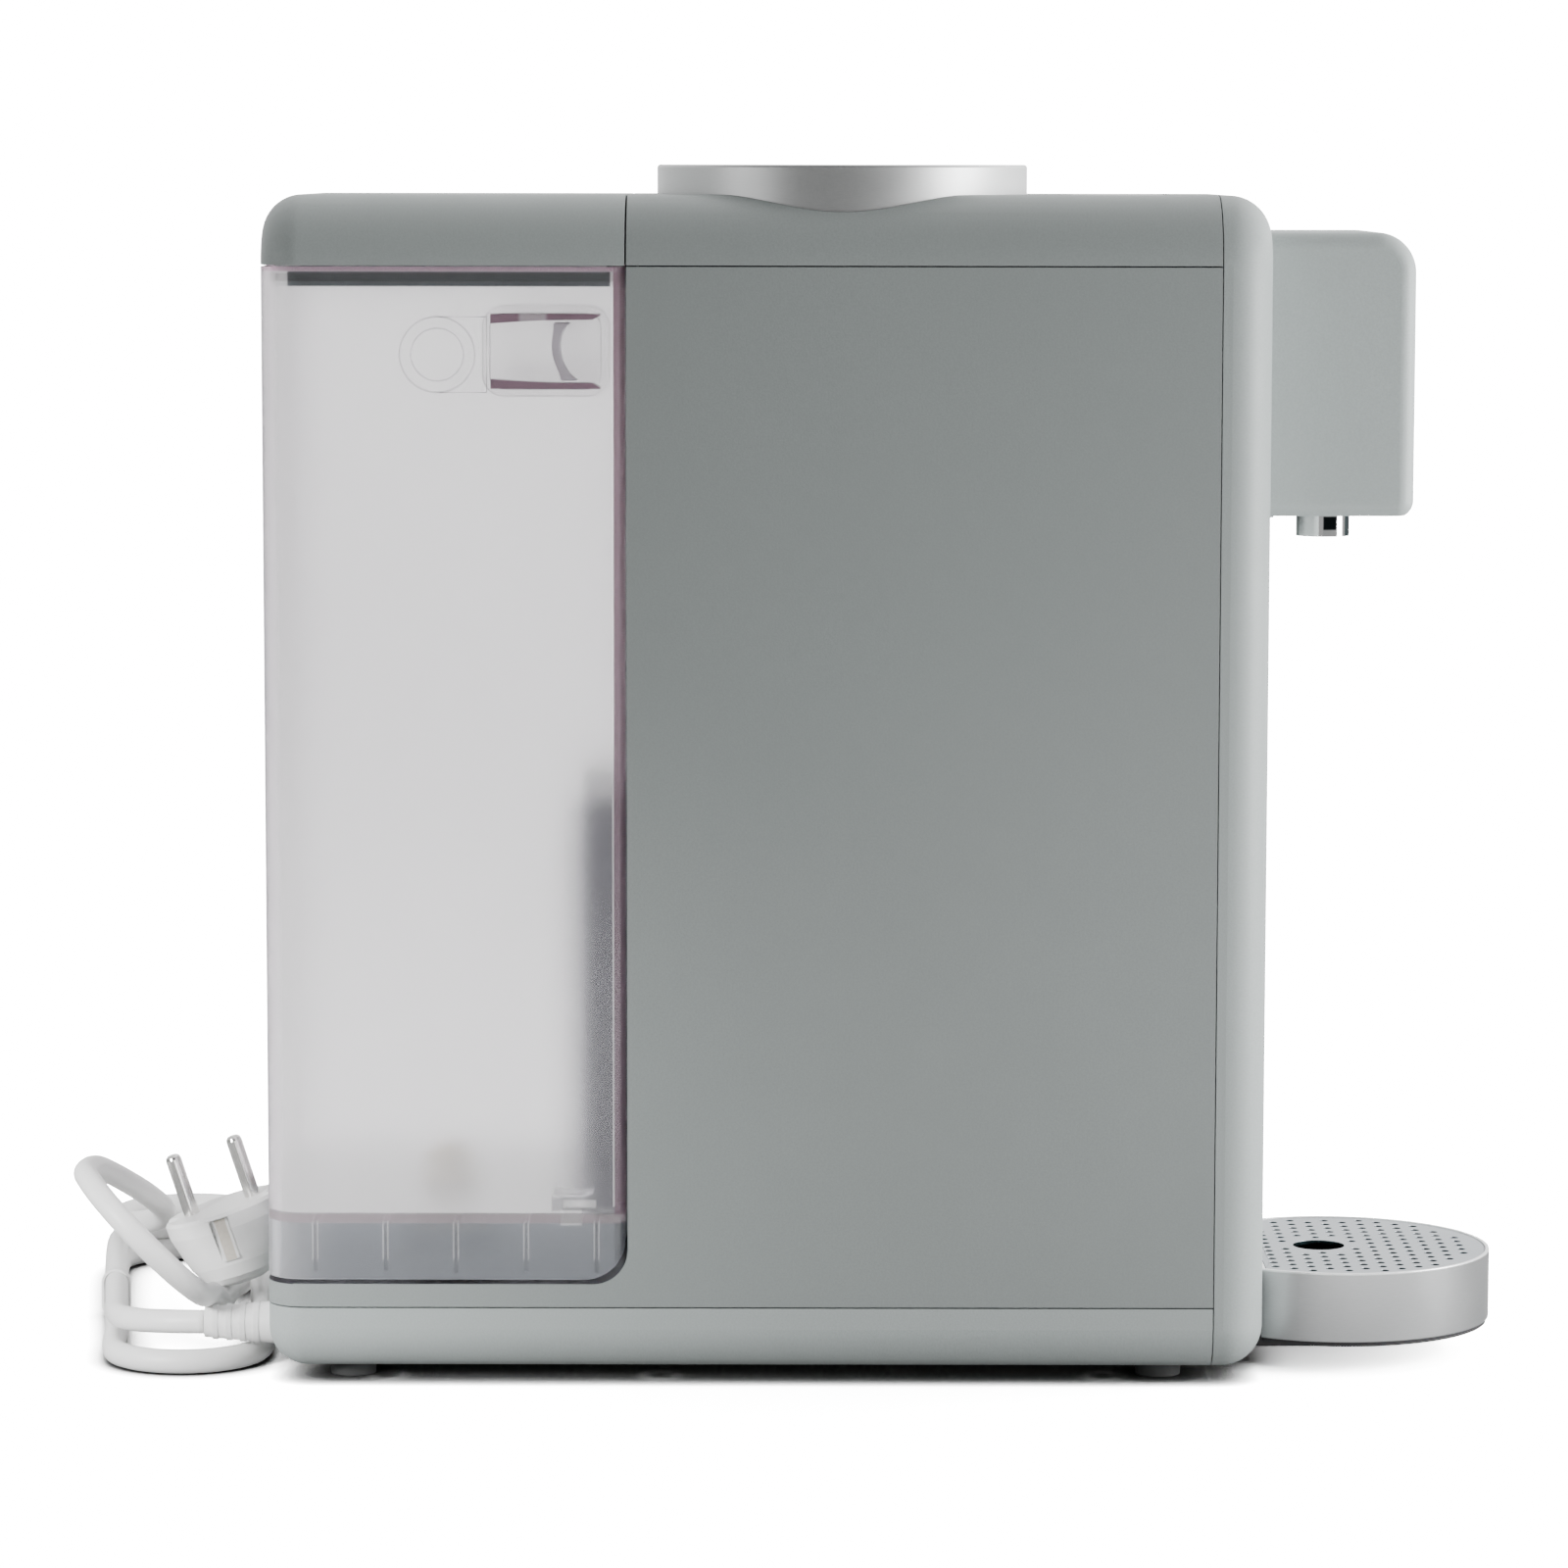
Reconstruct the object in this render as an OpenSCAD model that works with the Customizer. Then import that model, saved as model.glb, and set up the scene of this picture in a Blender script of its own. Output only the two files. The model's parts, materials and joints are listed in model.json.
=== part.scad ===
// Countertop water dispenser with a lift-off tank, a top knob, a spout head and a magnetic drip tray.
// Millimetres. +Z up, front towards -Y, origin on the floor under the middle of the footprint.

/* [Body] */
// Width of the body from side to side
body_w = 122; // [116:1:130]
// Height of the top face above the floor
body_top = 339.5; // [336:0.5:344]
// Depth of the front panel
panel_d = 15; // [13:1:18]
// Wall thickness of the moulded shells
wall = 2.6; // [2.2:0.1:3]
// Radius of the long top edges
top_r = 19.5; // [18:0.5:20]
// Radius of the long bottom edges
bot_r = 12.5; // [11:0.5:13]
// Radius of the edges round the front face
front_r = 12; // [10:0.5:12]
// Radius of the edges round the rear face
rear_r = 11.3; // [9:0.1:11.5]

/* [Tank] */
// Wall thickness of the water tank
tank_wall = 2.6; // [2.2:0.1:3]
// Gap between the tank and the body
tank_gap = 0.5; // [0.4:0.1:0.8]
// Height of the tank's floor above the ground
tank_floor = 50; // [48:1:52]

/* [Knob] */
// Radius of the knob
knob_r = 53.7; // [50:0.1:54]
// Height of the knob's top face above the floor
knob_top = 348; // [346:0.5:350]
// How far the knob can be pressed
knob_press = 1.2; // [0.8:0.1:1.4]

/* [Spout head] */
// Width of the spout head
head_w = 70; // [60:1:80]
// How far the head stands out from the front
head_d = 42.6; // [40:0.2:46]
// Radius of the nozzle
nozzle_r = 7.75; // [7:0.05:8.5]

/* [Drip tray] */
// Radius of the drip tray
tray_r = 45.6; // [44:0.1:46]
// Distance between the small drain holes
drain_pitch = 6; // [5.5:0.1:7]

/* [Mains lead] */
// Diameter of the mains lead
cord_d = 7; // [6.8:0.1:7.2]

/* [Hidden] */
$fn = 64;

hw = body_w / 2;
y_front = -107.4;
y_seam = y_front + panel_d;
y_dock = 75;
y_tank = y_dock + tank_gap;
y_rear = 178.5;
z_bot = 4;
z_base = 22.6;
z_house = 23;
z_deck = 29.6;
z_tank = 31;
z_cap = 319.8;
z_brim = 319.3;
knob_y = 13.85;
head_z0 = 247.4;
head_z1 = 329;
y_head = y_front - head_d;
noz_y = -126.9;
tray_y = -178.5 + tray_r;
out_y = 129;

// ---------- shared shapes ----------
// rounded rectangle with corner radii [low left, low right, high right, high left]
module rr(x0, y0, x1, y1, r) {
  difference() {
    translate([x0, y0]) square([x1 - x0, y1 - y0]);
    for (c = [[x0, y0, 1, 1, r[0]], [x1, y0, -1, 1, r[1]], [x1, y1, -1, -1, r[2]], [x0, y1, 1, -1, r[3]]])
      if (c[4] > 0) difference() {
        translate([c[2] > 0 ? c[0] - 1 : c[0] - c[4], c[3] > 0 ? c[1] - 1 : c[1] - c[4]]) square([c[4] + 1, c[4] + 1]);
        translate([c[0] + c[2] * c[4], c[1] + c[3] * c[4]]) circle(r = c[4]);
      }
  }
}
// extrude a Y-Z outline along X, and an X-Z outline along Y
module along_x(x0, x1) translate([x0, 0, 0]) rotate([90, 0, 90]) linear_extrude(x1 - x0) children();
module along_y(y0, y1) translate([0, y1, 0]) rotate([90, 0, 0]) linear_extrude(y1 - y0) children();
module box(a, b) translate(a) cube([b[0] - a[0], b[1] - a[1], b[2] - a[2]]);
module rod(p, r, h) translate(p) cylinder(r = r, h = h);

// quarter of a round post along Y between y0 and y1, radius r about (x, z), starting at angle a,
// with edge radii rf in front and rb behind
module quarter_y(x, z, r, a, y0, y1, rf, rb) translate([x, 0, z]) rotate([90, 0, 0]) rotate([0, 0, a])
  rotate_extrude(angle = 90) rr(0, -y1, r, -y0, [0, rb, rf, 0]);
// quarter of a round post along X between -w and w, radius r about (y, z), starting at angle a, edge radius e
module quarter_x(y, z, r, a, w, e) translate([0, y, z]) rotate([90, 0, 90]) rotate([0, 0, a])
  rotate_extrude(angle = 90) rr(0, -w, r, w, [0, e, e, 0]);

// outer form of the whole body, drawn in by d: a rounded section with its front and rear edges rounded all the
// way round
module env(d = 0) {
  w = hw - d; y0 = y_front + d; y1 = y_rear - d; z0 = z_bot + d; z1 = body_top - d;
  rt = top_r - d; rl = bot_r - d;
  rf = min(front_r, bot_r - 0.5) - d; rb = min(rear_r, bot_r - 0.5) - d;
  translate([0, 0, z0 + rl]) linear_extrude(z1 - rt - z0 - rl) rr(-w, y0, w, y1, [rf, rf, rb, rb]);
  along_x(-w + rt, w - rt) rr(y0, z1 - rt, y1, z1, [0, 0, rb, rf]);
  along_x(-w + rl, w - rl) rr(y0, z0, y1, z0 + rl, [rf, rb, 0, 0]);
  quarter_y(w - rt, z1 - rt, rt, 0, y0, y1, rf, rb);
  quarter_y(-w + rt, z1 - rt, rt, 90, y0, y1, rf, rb);
  quarter_y(-w + rl, z0 + rl, rl, 180, y0, y1, rf, rb);
  quarter_y(w - rl, z0 + rl, rl, 270, y0, y1, rf, rb);
}
module slice(y0, y1, z0, z1, d = 0) intersection() { env(d); box([-hw - 1, y0, z0], [hw + 1, y1, z1]); }

// tube swept along points p, radius r, n sides, as one closed polyhedron
function unit(v) = v / max(norm(v), 1e-9);
function tang(p, i) = unit(p[min(i + 1, len(p) - 1)] - p[max(i - 1, 0)]);
function side_of(t) = unit(abs(t[2]) > 0.9 ? cross(t, [0, 1, 0]) : cross(t, [0, 0, 1]));
function frames(p, i = 0, s = undef) = i >= len(p) ? [] :
  let (t = tang(p, i), a = s == undef ? side_of(t) : unit(s - (s * t) * t)) concat([[a, cross(t, a)]], frames(p, i + 1, a));
module sweep(p, r, n = 8) {
  f = frames(p);
  pts = [for (i = [0:len(p) - 1], k = [0:n - 1]) p[i] + r * (cos(360 * k / n) * f[i][0] + sin(360 * k / n) * f[i][1])];
  m = len(p);
  polyhedron(points = pts, faces = concat(
    [[for (k = [0:n - 1]) k]],
    [for (i = [0:m - 2], k = [0:n - 1], h = [0, 1]) let (a = i * n + k, b = i * n + (k + 1) % n, c = a + n, d = b + n) h == 0 ? [a, c, b] : [b, c, d]],
    [[for (k = [n - 1:-1:0]) (m - 1) * n + k]]), convexity = 10);
}
// smooth curve through points q, s pieces for each gap
function cr(a, b, c, d, t) = 0.5 * (2 * b + (c - a) * t + (2 * a - 5 * b + 4 * c - d) * t * t + (3 * b - a - 3 * c + d) * t * t * t);
function curve(q, s) = concat([for (i = [0:len(q) - 2], k = [0:s - 1])
  cr(q[max(i - 1, 0)], q[i], q[i + 1], q[min(i + 2, len(q) - 1)], k / s)], [q[len(q) - 1]]);
// coil spring between z0 and z1
module spring(x, y, z0, z1, rm, rw, turns) sweep([for (i = [0:turns * 14]) let (a = i * 360 / 14)
  [x + rm * cos(a), y + rm * sin(a), z0 + rw + (z1 - z0 - 2 * rw) * i / (turns * 14)]], rw, 6);
// countersunk screw pointing up from z, shank length l
module screw_up(x, y, z, l, r = 1.5) {
  difference() { rod([x, y, z], 2 * r, 1.2); box([x - 1.6 * r, y - 0.4, z - 1], [x + 1.6 * r, y + 0.4, z + 0.6]); }
  rod([x, y, z + 1.2], r, l);
}

post_xy = [[-45, -62], [45, -62], [-45, 66], [45, 66], [-45, 145], [45, 145]];

// ---------- body ----------
module main_housing() color([0.62, 0.64, 0.63]) difference() {
  union() {
    difference() {
      slice(y_seam, y_dock, z_house, z_cap - 0.4);
      intersection() { env(wall); box([-hw, y_seam - 1, z_house - 1], [hw, y_dock - wall, z_cap + 1]); }
    }
    difference() {
      slice(y_dock - 1, y_rear, z_house, z_deck);
      intersection() { env(wall); box([-hw, y_dock - 2, z_house - 1], [hw, y_rear, z_deck - wall]); }
    }
    // fillet between deck and rear wall, outside the guide rail
    intersection() {
      env(0);
      for (s = [-1, 1]) along_x(s < 0 ? -hw : 20, s < 0 ? -20 : hw) difference() {
        translate([y_dock - 1, z_deck - 1]) square([11, 11]);
        translate([y_dock + 10, z_deck + 10]) circle(r = 10, $fn = 96);
      }
    }
    for (p = post_xy) intersection() {
      env(0.5);
      union() {
        rod([p[0], p[1], z_house], 4.5, p[1] > y_dock ? z_deck - z_house - 1 : 16);
        box([p[0] < 0 ? -hw + 1 : p[0], p[1] - 1.5, z_house], [p[0] < 0 ? p[0] : hw - 1, p[1] + 1.5, p[1] > y_dock ? z_deck - 1 : z_house + 14]);
      }
    }
  }
  for (p = post_xy) rod([p[0], p[1], z_house - 1], 1.5, p[1] > y_dock ? 5 : 15);
  rod([0, out_y, z_deck - 8], 16, 10);
  for (x = [-8, 8]) translate([x, y_dock - 6, 100]) rotate([-90, 0, 0]) cylinder(r = 1.7, h = 10);
}
module front_panel() color([0.62, 0.64, 0.63]) difference() {
  slice(y_front, y_seam - 0.3, z_bot, body_top);
  intersection() { env(3); box([-hw, y_front + 3, z_bot], [hw, y_seam + 1, body_top]); }
  box([-24, y_front - 1, 262], [24, y_front + 4, 318]);
  box([-29, y_front - 1, z_bot - 1], [29, y_seam + 1, 8.8]);
  for (x = [-29, 29]) translate([x, y_front - 1, 268]) rotate([-90, 0, 0]) cylinder(r = 1.7, h = 5);
}
module base_cover() color([0.68, 0.70, 0.69]) difference() {
  union() {
    difference() {
      slice(y_seam, y_rear, z_bot, z_base);
      slice(y_seam - 1, y_rear, z_bot, z_base + 1, wall);
    }
    intersection() { env(0.5); box([-hw, y_seam, z_bot + 1], [hw, y_seam + 2.4, z_base]); }
    for (p = post_xy) intersection() { env(0.5); rod([p[0], p[1], z_bot + 1], 5, z_base - z_bot - 1); }
    for (x = [-30, 0, 30]) box([x - 1, -60, z_bot + 1], [x + 1, 50, 11]);
    box([-32, y_seam, z_bot + 1.5], [32, y_seam + 22, 11.4]);
  }
  for (p = post_xy) { rod([p[0], p[1], z_bot - 1], 1.7, 30); rod([p[0], p[1], z_bot - 1], 3.3, 4.4); }
  for (x = [-41, 41], y = [-78, 155]) rod([x, y, z_bot - 1], 6.6, 2);
  for (i = [0:9]) box([-24, -40 + 8 * i, z_bot - 1], [-6, -37.4 + 8 * i, z_bot + 12]);
  for (i = [0:9]) box([6, -40 + 8 * i, z_bot - 1], [24, -37.4 + 8 * i, z_bot + 12]);
  box([-28.4, y_seam - 1, z_bot - 1], [28.4, y_seam + 20, 8.6]);
  for (x = [-16, 16]) rod([x, y_seam + 10, z_bot - 1], 1.3, 20);
  translate([gland_p[0], y_rear - 8, gland_p[2]]) rotate([-90, 0, 0]) cylinder(r = 5.6, h = 12);
}
module top_cover() color([0.62, 0.64, 0.63]) difference() {
  union() {
    difference() {
      slice(y_seam, y_dock, z_cap, body_top);
      intersection() { env(wall); box([-hw, y_seam - 1, z_cap - 1], [hw, y_dock - wall, body_top]); }
    }
    intersection() { env(1); rod([0, knob_y, 330], knob_r + 2.4, 20); }
    rod([0, knob_y, 325], 9.5, 8);
    for (x = [-42, 42], y = [-14, 42]) rod([x, y, 311.2], 3.4, 20);
    intersection() { env(1); box([-35.5, -81.5, 335.5], [35.5, -50.5, 338]); }
  }
  rod([0, knob_y, 332.6], knob_r + 0.6, 20);
  rod([0, knob_y, 320], 6.05, 20);
  for (x = [-42, 42], y = [-14, 42]) rod([x, y, 310], 1.2, 14);
  translate([0, 0, 337.5]) linear_extrude(5) rr(-34, -80, 34, -52, [4, 4, 4, 4]);
}
module display_lens() color([0.05, 0.05, 0.06]) translate([0, 0, 337.5]) linear_extrude(1.9) rr(-33.8, -79.8, 33.8, -52.2, [3.8, 3.8, 3.8, 3.8]);

module head_form(d = 0) {
  w = head_w / 2 - d; e = 4.6 - d; rt = 11.5; rl = 5; y0 = y_head + d; z1 = head_z1 - d;
  z0 = d > 0 ? head_z0 - 2 : head_z0;
  zl = d > 0 ? z0 : z0 + rl;
  along_y(y_head + rt, y_front + 1) rr(-w, z0, w, z1, d > 0 ? [0, 0, e, e] : [e, e, e, e]);
  translate([0, 0, zl]) linear_extrude(head_z1 - rt - zl) rr(-w, y0, w, y_head + rt, [e, e, 0, 0]);
  quarter_x(y_head + rt, head_z1 - rt, rt - d, 90, w, e);
  if (d == 0) {
    along_y(y_head + rl, y_head + rt) rr(-w, z0, w, z0 + rl, [e, e, 0, 0]);
    quarter_x(y_head + rl, z0 + rl, rl, 180, w, e);
  }
}
module head_shell() color([0.66, 0.68, 0.68]) difference() {
  union() {
    difference() {
      intersection() { head_form(); box([-60, y_head - 1, 200], [60, y_front, 400]); }
      intersection() { head_form(2.4); box([-60, y_head - 1, 200], [60, y_front - 2.4, 400]); }
    }
    for (x = [-29, 29]) translate([x, y_front - 12, 268]) rotate([-90, 0, 0]) cylinder(r = 3.6, h = 12);
  }
  for (x = [-29, 29]) translate([x, y_front - 10, 268]) rotate([-90, 0, 0]) cylinder(r = 1.3, h = 12);
  box([-22, y_front - 5, 264], [22, y_front + 1, 316]);
}
module head_plate() color([0.40, 0.41, 0.41]) difference() {
  union() {
    intersection() { head_form(2.6); box([-60, y_head - 1, head_z0 + 1], [60, y_front - 2.6, head_z0 + 3.4]); }
    rod([0, noz_y, head_z0 + 1], nozzle_r + 2, 8);
  }
  rod([0, noz_y, head_z0 - 1], nozzle_r + 0.02, 20);
}
module nozzle_ring() color([0.85, 0.86, 0.87]) difference() {
  union() { rod([0, noz_y, 240.4], nozzle_r, 14); rod([0, noz_y, 254], 5, 6); }
  rod([0, noz_y, 239], nozzle_r - 1.6, 10);
  rod([0, noz_y, 240], 3.1, 30);
}
module nozzle_insert() color([0.1, 0.1, 0.1]) difference() {
  rod([0, noz_y, 241.2], nozzle_r - 1.6, 7.8);
  rod([0, noz_y, 240], 2.4, 12);
  for (a = [0:45:315]) rod([4.2 * cos(a), noz_y + 4.2 * sin(a), 240], 0.6, 4);
}
module board_screws() color([0.7, 0.7, 0.7]) for (x = [-42, 42], y = [-14, 42]) { rod([x, y, 307.8], 2.5, 1.5); rod([x, y, 309.3], 1.15, 12); }
module bracket_screws() color([0.7, 0.7, 0.7]) for (x = [-16, 16]) screw_up(x, y_seam + 10, 5.1, 7, 1.3);
module head_screws() color([0.7, 0.7, 0.7]) for (x = [-29, 29]) translate([x, y_front + 5.6, 268]) rotate([90, 0, 0]) { cylinder(r = 2.8, h = 2.2); translate([0, 0, 2.2]) cylinder(r = 1.3, h = 11); }

// ---------- dock, plumbing and electrics ----------
module dock_rail() color([0.25, 0.24, 0.26]) difference() {
  translate([0, 0, 32.5]) linear_extrude(137) rr(-15, y_dock, 15, 85.5, [0, 0, 3, 3]);
  box([-11, y_dock - 1, 30], [11, 82, 165]);
}
module dock_socket() color([0.3, 0.3, 0.31]) difference() {
  union() { rod([0, out_y, 24], 15.9, 12.4); rod([0, out_y, 14.5], 4.5, 10); rod([0, out_y, z_deck], 17.5, 1.2); }
  rod([0, out_y, 29], 12.7, 20);
  rod([0, out_y, 16], 3, 10);
  translate([0, out_y, 17.5]) rotate([90, 0, 0]) cylinder(r = 3, h = 3);
  for (a = [0:60:300]) rod([4.6 * cos(a), out_y + 4.6 * sin(a), 20], 1.3, 12);
}
module dock_seal() color([0.85, 0.84, 0.8]) translate([0, out_y, 0]) rotate_extrude() polygon([[8, 29], [12.2, 29], [11.6, 31.2], [9, 31.2]]);
module dock_pin() color([0.8, 0.8, 0.82]) rod([0, out_y, 29], 1.6, 11);
module inner_frame() color([0.45, 0.45, 0.46]) difference() {
  union() {
    box([-58, -34, 24], [58, -31.4, 300]);
    box([-52, -31.5, 118], [24, 44, 120.6]);
    box([-52, -31.5, 124 + 120], [30, 44, 124 + 122.6]);
    box([-45, -31.5, 38], [-2, 58, 40.4]);
  }
  for (z = [60, 190, 270], x = [-36, 36]) translate([x, -40, z]) rotate([-90, 0, 0]) cylinder(r = 12, h = 12);
  rod([-8, 16, 110], 21.1, 140);
  translate([0, -40, 290]) rotate([-90, 0, 0]) cylinder(r = 6, h = 12);
  rod([-27, 30, 30], 8, 14);
}
module pump_body() color([0.16, 0.16, 0.17]) difference() {
  union() {
    rod([-27, 30, 40.6], 19, 22);
    rod([-27, 30, 30], 5, 11);
    translate([-12, 30, 51]) rotate([0, 90, 0]) cylinder(r = 5, h = 20);
  }
  rod([-27, 30, 43], 15.6, 17.2);
  rod([-27, 30, 29], 3, 15);
  translate([-14, 30, 51]) rotate([0, 90, 0]) cylinder(r = 3, h = 23);
  rod([-27, 30, 60], 2.05, 4);
}
module pump_motor() color([0.72, 0.73, 0.74]) difference() {
  union() { rod([-27, 30, 62.8], 14, 34); rod([-27, 30, 96.5], 6, 3); rod([-27, 30, 62.8], 16.5, 2.4); for (x = [-5, 5]) box([-27 + x - 0.6, 28, 96], [-27 + x + 0.6, 32, 104]); }
  rod([-27, 30, 62], 1.55, 30);
}
module pump_impeller() color([0.9, 0.9, 0.88]) {
  rod([-27, 30, 44], 13.5, 1.6);
  rod([-27, 30, 44], 4, 12);
  rod([-27, 30, 50], 1.5, 40);
  for (a = [0:60:300]) translate([-27, 30, 45]) rotate([0, 0, a]) box([3, -0.6, 0], [13, 0.6, 10]);
}
module heater_core() color([0.75, 0.76, 0.78]) difference() {
  union() { rod([-8, 16, 128], 19, 108); for (z = [140, 180, 220]) rod([-8, 16, z], 20.6, 6); }
  rod([-8, 16, 127], 16.5, 110);
}
module heater_caps() color([0.2, 0.2, 0.21]) {
  difference() { union() { rod([-8, 16, 121], 20.8, 7); rod([-8, 16, 112], 5, 10); } rod([-8, 16, 111], 3, 18); }
  difference() { union() { rod([-8, 16, 236], 20.8, 7); rod([-8, 16, 243], 5, 11); } rod([-8, 16, 235], 3, 25); }
}
module thermal_cutoff() color([0.85, 0.85, 0.8]) { translate([-8, -3.2, 163]) rotate([90, 0, 0]) cylinder(r = 8, h = 5); translate([-8, -8, 163]) rotate([90, 0, 0]) cylinder(r = 5, h = 4); for (x = [-5, 5]) box([-8 + x - 1.5, -18, 162.6], [-8 + x + 1.5, -11, 163.4]); }
module hose_inlet() color([0.9, 0.9, 0.9]) sweep(curve([[0, out_y - 3.2, 17.5], [0, 112, 17.5], [-2, 96, 17.5], [-12, 74, 17.5], [-22, 50, 17.5], [-26.5, 36, 19], [-27, 30, 24], [-27, 30, 30]], 4), 4.4, 10);
module hose_middle() color([0.9, 0.9, 0.9]) sweep(curve([[8, 30, 51], [14, 30, 51], [20, 28, 58], [20, 22, 76], [12, 18, 92], [0, 16, 98], [-8, 16, 104], [-8, 16, 112]], 4), 4.4, 10);
module hose_outlet() color([0.9, 0.9, 0.9]) sweep(curve([[-8, 16, 254], [-8, 16, 262], [-6, 8, 276], [-4, -8, 286], [0, -28.5, 290], [0, -60, 290], [0, -90, 290], [0, -112, 288], [0, -123, 280], [0, -126.9, 268], [0, -126.9, 260]], 4), 4.4, 10);
module power_board() color([0.1, 0.35, 0.2]) difference() {
  box([50, -26, 60], [51.6, 60, 220]);
  for (y = [-21, 55], z = [66, 214]) translate([48, y, z]) rotate([0, 90, 0]) cylinder(r = 1.6, h = 6);
}
module power_parts() color([0.2, 0.2, 0.22]) {
  box([26, -20, 70], [50, 8, 100]);
  box([34, 16, 72], [50, 40, 96]);
  translate([50, 30, 120]) rotate([0, -90, 0]) cylinder(r = 9, h = 22);
  translate([50, -6, 122]) rotate([0, -90, 0]) cylinder(r = 7, h = 16);
  for (z = [144, 166]) box([33, -18, z], [50, 12, z + 16]);
  for (i = [0:5]) box([30, 22 + 5 * i, 150], [50, 23.5 + 5 * i, 200]);
  box([47, 22, 150], [50, 48.5, 200]);
}
module wire_loom() color([0.85, 0.2, 0.15]) sweep(curve([[49.8, -16, 206], [44, -17, 208], [38, -20, 224], [34, -22, 250], [26, -12, 275], [22, -6, 292], [22, -6, 305.6]], 4), 2.2, 8);
module control_board() color([0.1, 0.35, 0.2]) difference() {
  box([-50, -22, 309.4], [50, 50, 311]);
  for (x = [-42, 42], y = [-14, 42]) rod([x, y, 308], 1.4, 6);
}
module encoder_base() color([0.25, 0.25, 0.27]) difference() {
  union() { box([-8, knob_y - 8, 311.1], [8, knob_y + 8, 316]); box([18, -14, 305.6], [26, 2, 309.3]); for (x = [-30, -24]) box([x, 20, 311.1], [x + 4, 30, 314]); }
  rod([0, knob_y, 313], 2, 5);
}
module knob_spring() color([0.75, 0.75, 0.77]) spring(0, knob_y, 316.1, 322.8, 7.2, 0.45, 4);
module knob_collar() color([0.2, 0.2, 0.2]) difference() {
  union() { rod([0, knob_y, 317.6], 6, 18.4); rod([0, knob_y, 322.9], 8.6, 2); }
  rod([0, knob_y, 310], 3.05, 40);
}
module knob_shaft() color([0.8, 0.81, 0.82]) { rod([0, knob_y, 317.5], 3, 26.5); rod([0, knob_y, 336.1], 5, 1.2); }
module knob_cap() color([0.72, 0.73, 0.75]) difference() {
  translate([0, knob_y, 0]) rotate_extrude($fn = 128) polygon([[0, knob_top], [knob_r - 0.8, knob_top], [knob_r - 0.25, knob_top - 0.25], [knob_r, knob_top - 0.8],
    [knob_r, 334.3], [knob_r - 2, 334.3], [knob_r - 2, knob_top - 2.4], [26, knob_top - 2.4], [26, 338.4], [24, 338.4], [24, knob_top - 2.4], [9, knob_top - 2.4], [9, 337.4], [0, 337.4]]);
  rod([0, knob_y, 336], 3, 8);
  for (a = [0:15:345]) translate([0, knob_y, 0]) rotate([0, 0, a]) box([34, -0.6, 345.9], [46, 0.6, 346.3]);
}

// ---------- feet, screws and tray bracket ----------
module feet() color([0.8, 0.81, 0.81]) for (x = [-41, 41], y = [-78, 155]) rod([x, y, 0], 6.5, 5);
module base_screws() color([0.75, 0.75, 0.77]) for (p = post_xy) screw_up(p[0], p[1], 6.1, p[1] > y_dock ? 19 : 26);
module tray_bracket() color([0.3, 0.3, 0.31]) difference() {
  union() {
    translate([0, 0, 5]) linear_extrude(3.3) rr(-28, -160, 28, y_seam + 18, [20, 20, 2, 2]);
    intersection() { env(0.6); box([-28, y_front + 3.4, 5], [28, y_seam + 2, 8.3]); }
  }
  for (x = [-16, 16]) { rod([x, y_seam + 10, 4], 1.6, 6); rod([x, y_seam + 10, 4], 2.8, 2.4); }
  for (x = [-18, 18]) rod([x, -140, 6.3], 5, 3);
  for (i = [0:4]) box([-14, -132 + 7 * i, 4], [14, -129 + 7 * i, 9]);
}
module tray_magnets() color([0.7, 0.7, 0.72]) for (x = [-18, 18]) rod([x, -140, 6.3], 5, 1.9);

// ---------- tank ----------
module tank_form(d = 0, z0 = z_tank, z1 = z_brim) intersection() {
  slice(y_tank + d, y_rear, z0, z1, d);
  along_x(-hw, hw) rr(y_tank + d, z_tank + (d > 0 ? -20 : 0), y_rear + 40, 400, [d > 0 ? 0 : 12, 0, 0, 0]);
  linear_extrude(400) rr(-hw, y_tank + d, hw, y_rear + 40, [3.5 - d, 3.5 - d, 0, 0]);
}
module tank_shell() color([0.80, 0.80, 0.82, 0.5]) difference() {
  union() {
    difference() {
      tank_form();
      intersection() { tank_form(tank_wall, tank_floor, z_brim + 1); box([-hw, y_tank + 3.3, tank_floor], [hw, y_rear, 400]); }
      intersection() { tank_form(tank_wall, z_tank - 1, tank_floor - 3); box([-hw, y_tank + 3.3, 0], [hw, y_rear, tank_floor - 3]); }
    }
    // channel for the guide rail
    box([-18.4, y_tank + 1, z_tank + 10], [18.4, 88.9, 172.9]);
    // finger grips
    for (s = [-1, 1]) intersection() { env(0.4); along_x(s < 0 ? -hw : 50.6, s < 0 ? -50.6 : hw) rr(80, 283, 115.6, 308.4, [6, 6, 6, 6]); }
    // skirt ribs
    for (i = [0:4], s = [-1, 1]) box([s < 0 ? -hw + 1 : hw - 8, 83.3 + 20.1 * i, z_tank + 1.5], [s < 0 ? -hw + 8 : hw - 1, 84.5 + 20.1 * i, tank_floor - 1]);
    // outlet collar
    rod([0, out_y, 39], 14.5, 10);
  }
  box([-15.6, y_tank - 1, z_tank - 1], [15.6, 86.2, 170.4]);
  for (s = [-1, 1]) along_x(s < 0 ? -hw - 1 : 53, s < 0 ? -53 : hw + 1) rr(82.2, 285, 113.5, 306.4, [4, 4, 4, 4]);
  rod([0, out_y, 38], 12.1, 9);
  rod([0, out_y, 45], 8.4, 10);
}
module tank_stud() color([0.9, 0.9, 0.92, 0.5]) for (s = [-1, 1]) { rod([s * 52.2, 90.6, tank_floor], 3.5, 4.6); rod([s * 52.2, 90.6, tank_floor + 4.6], 5.7, 2.4); }
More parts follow.
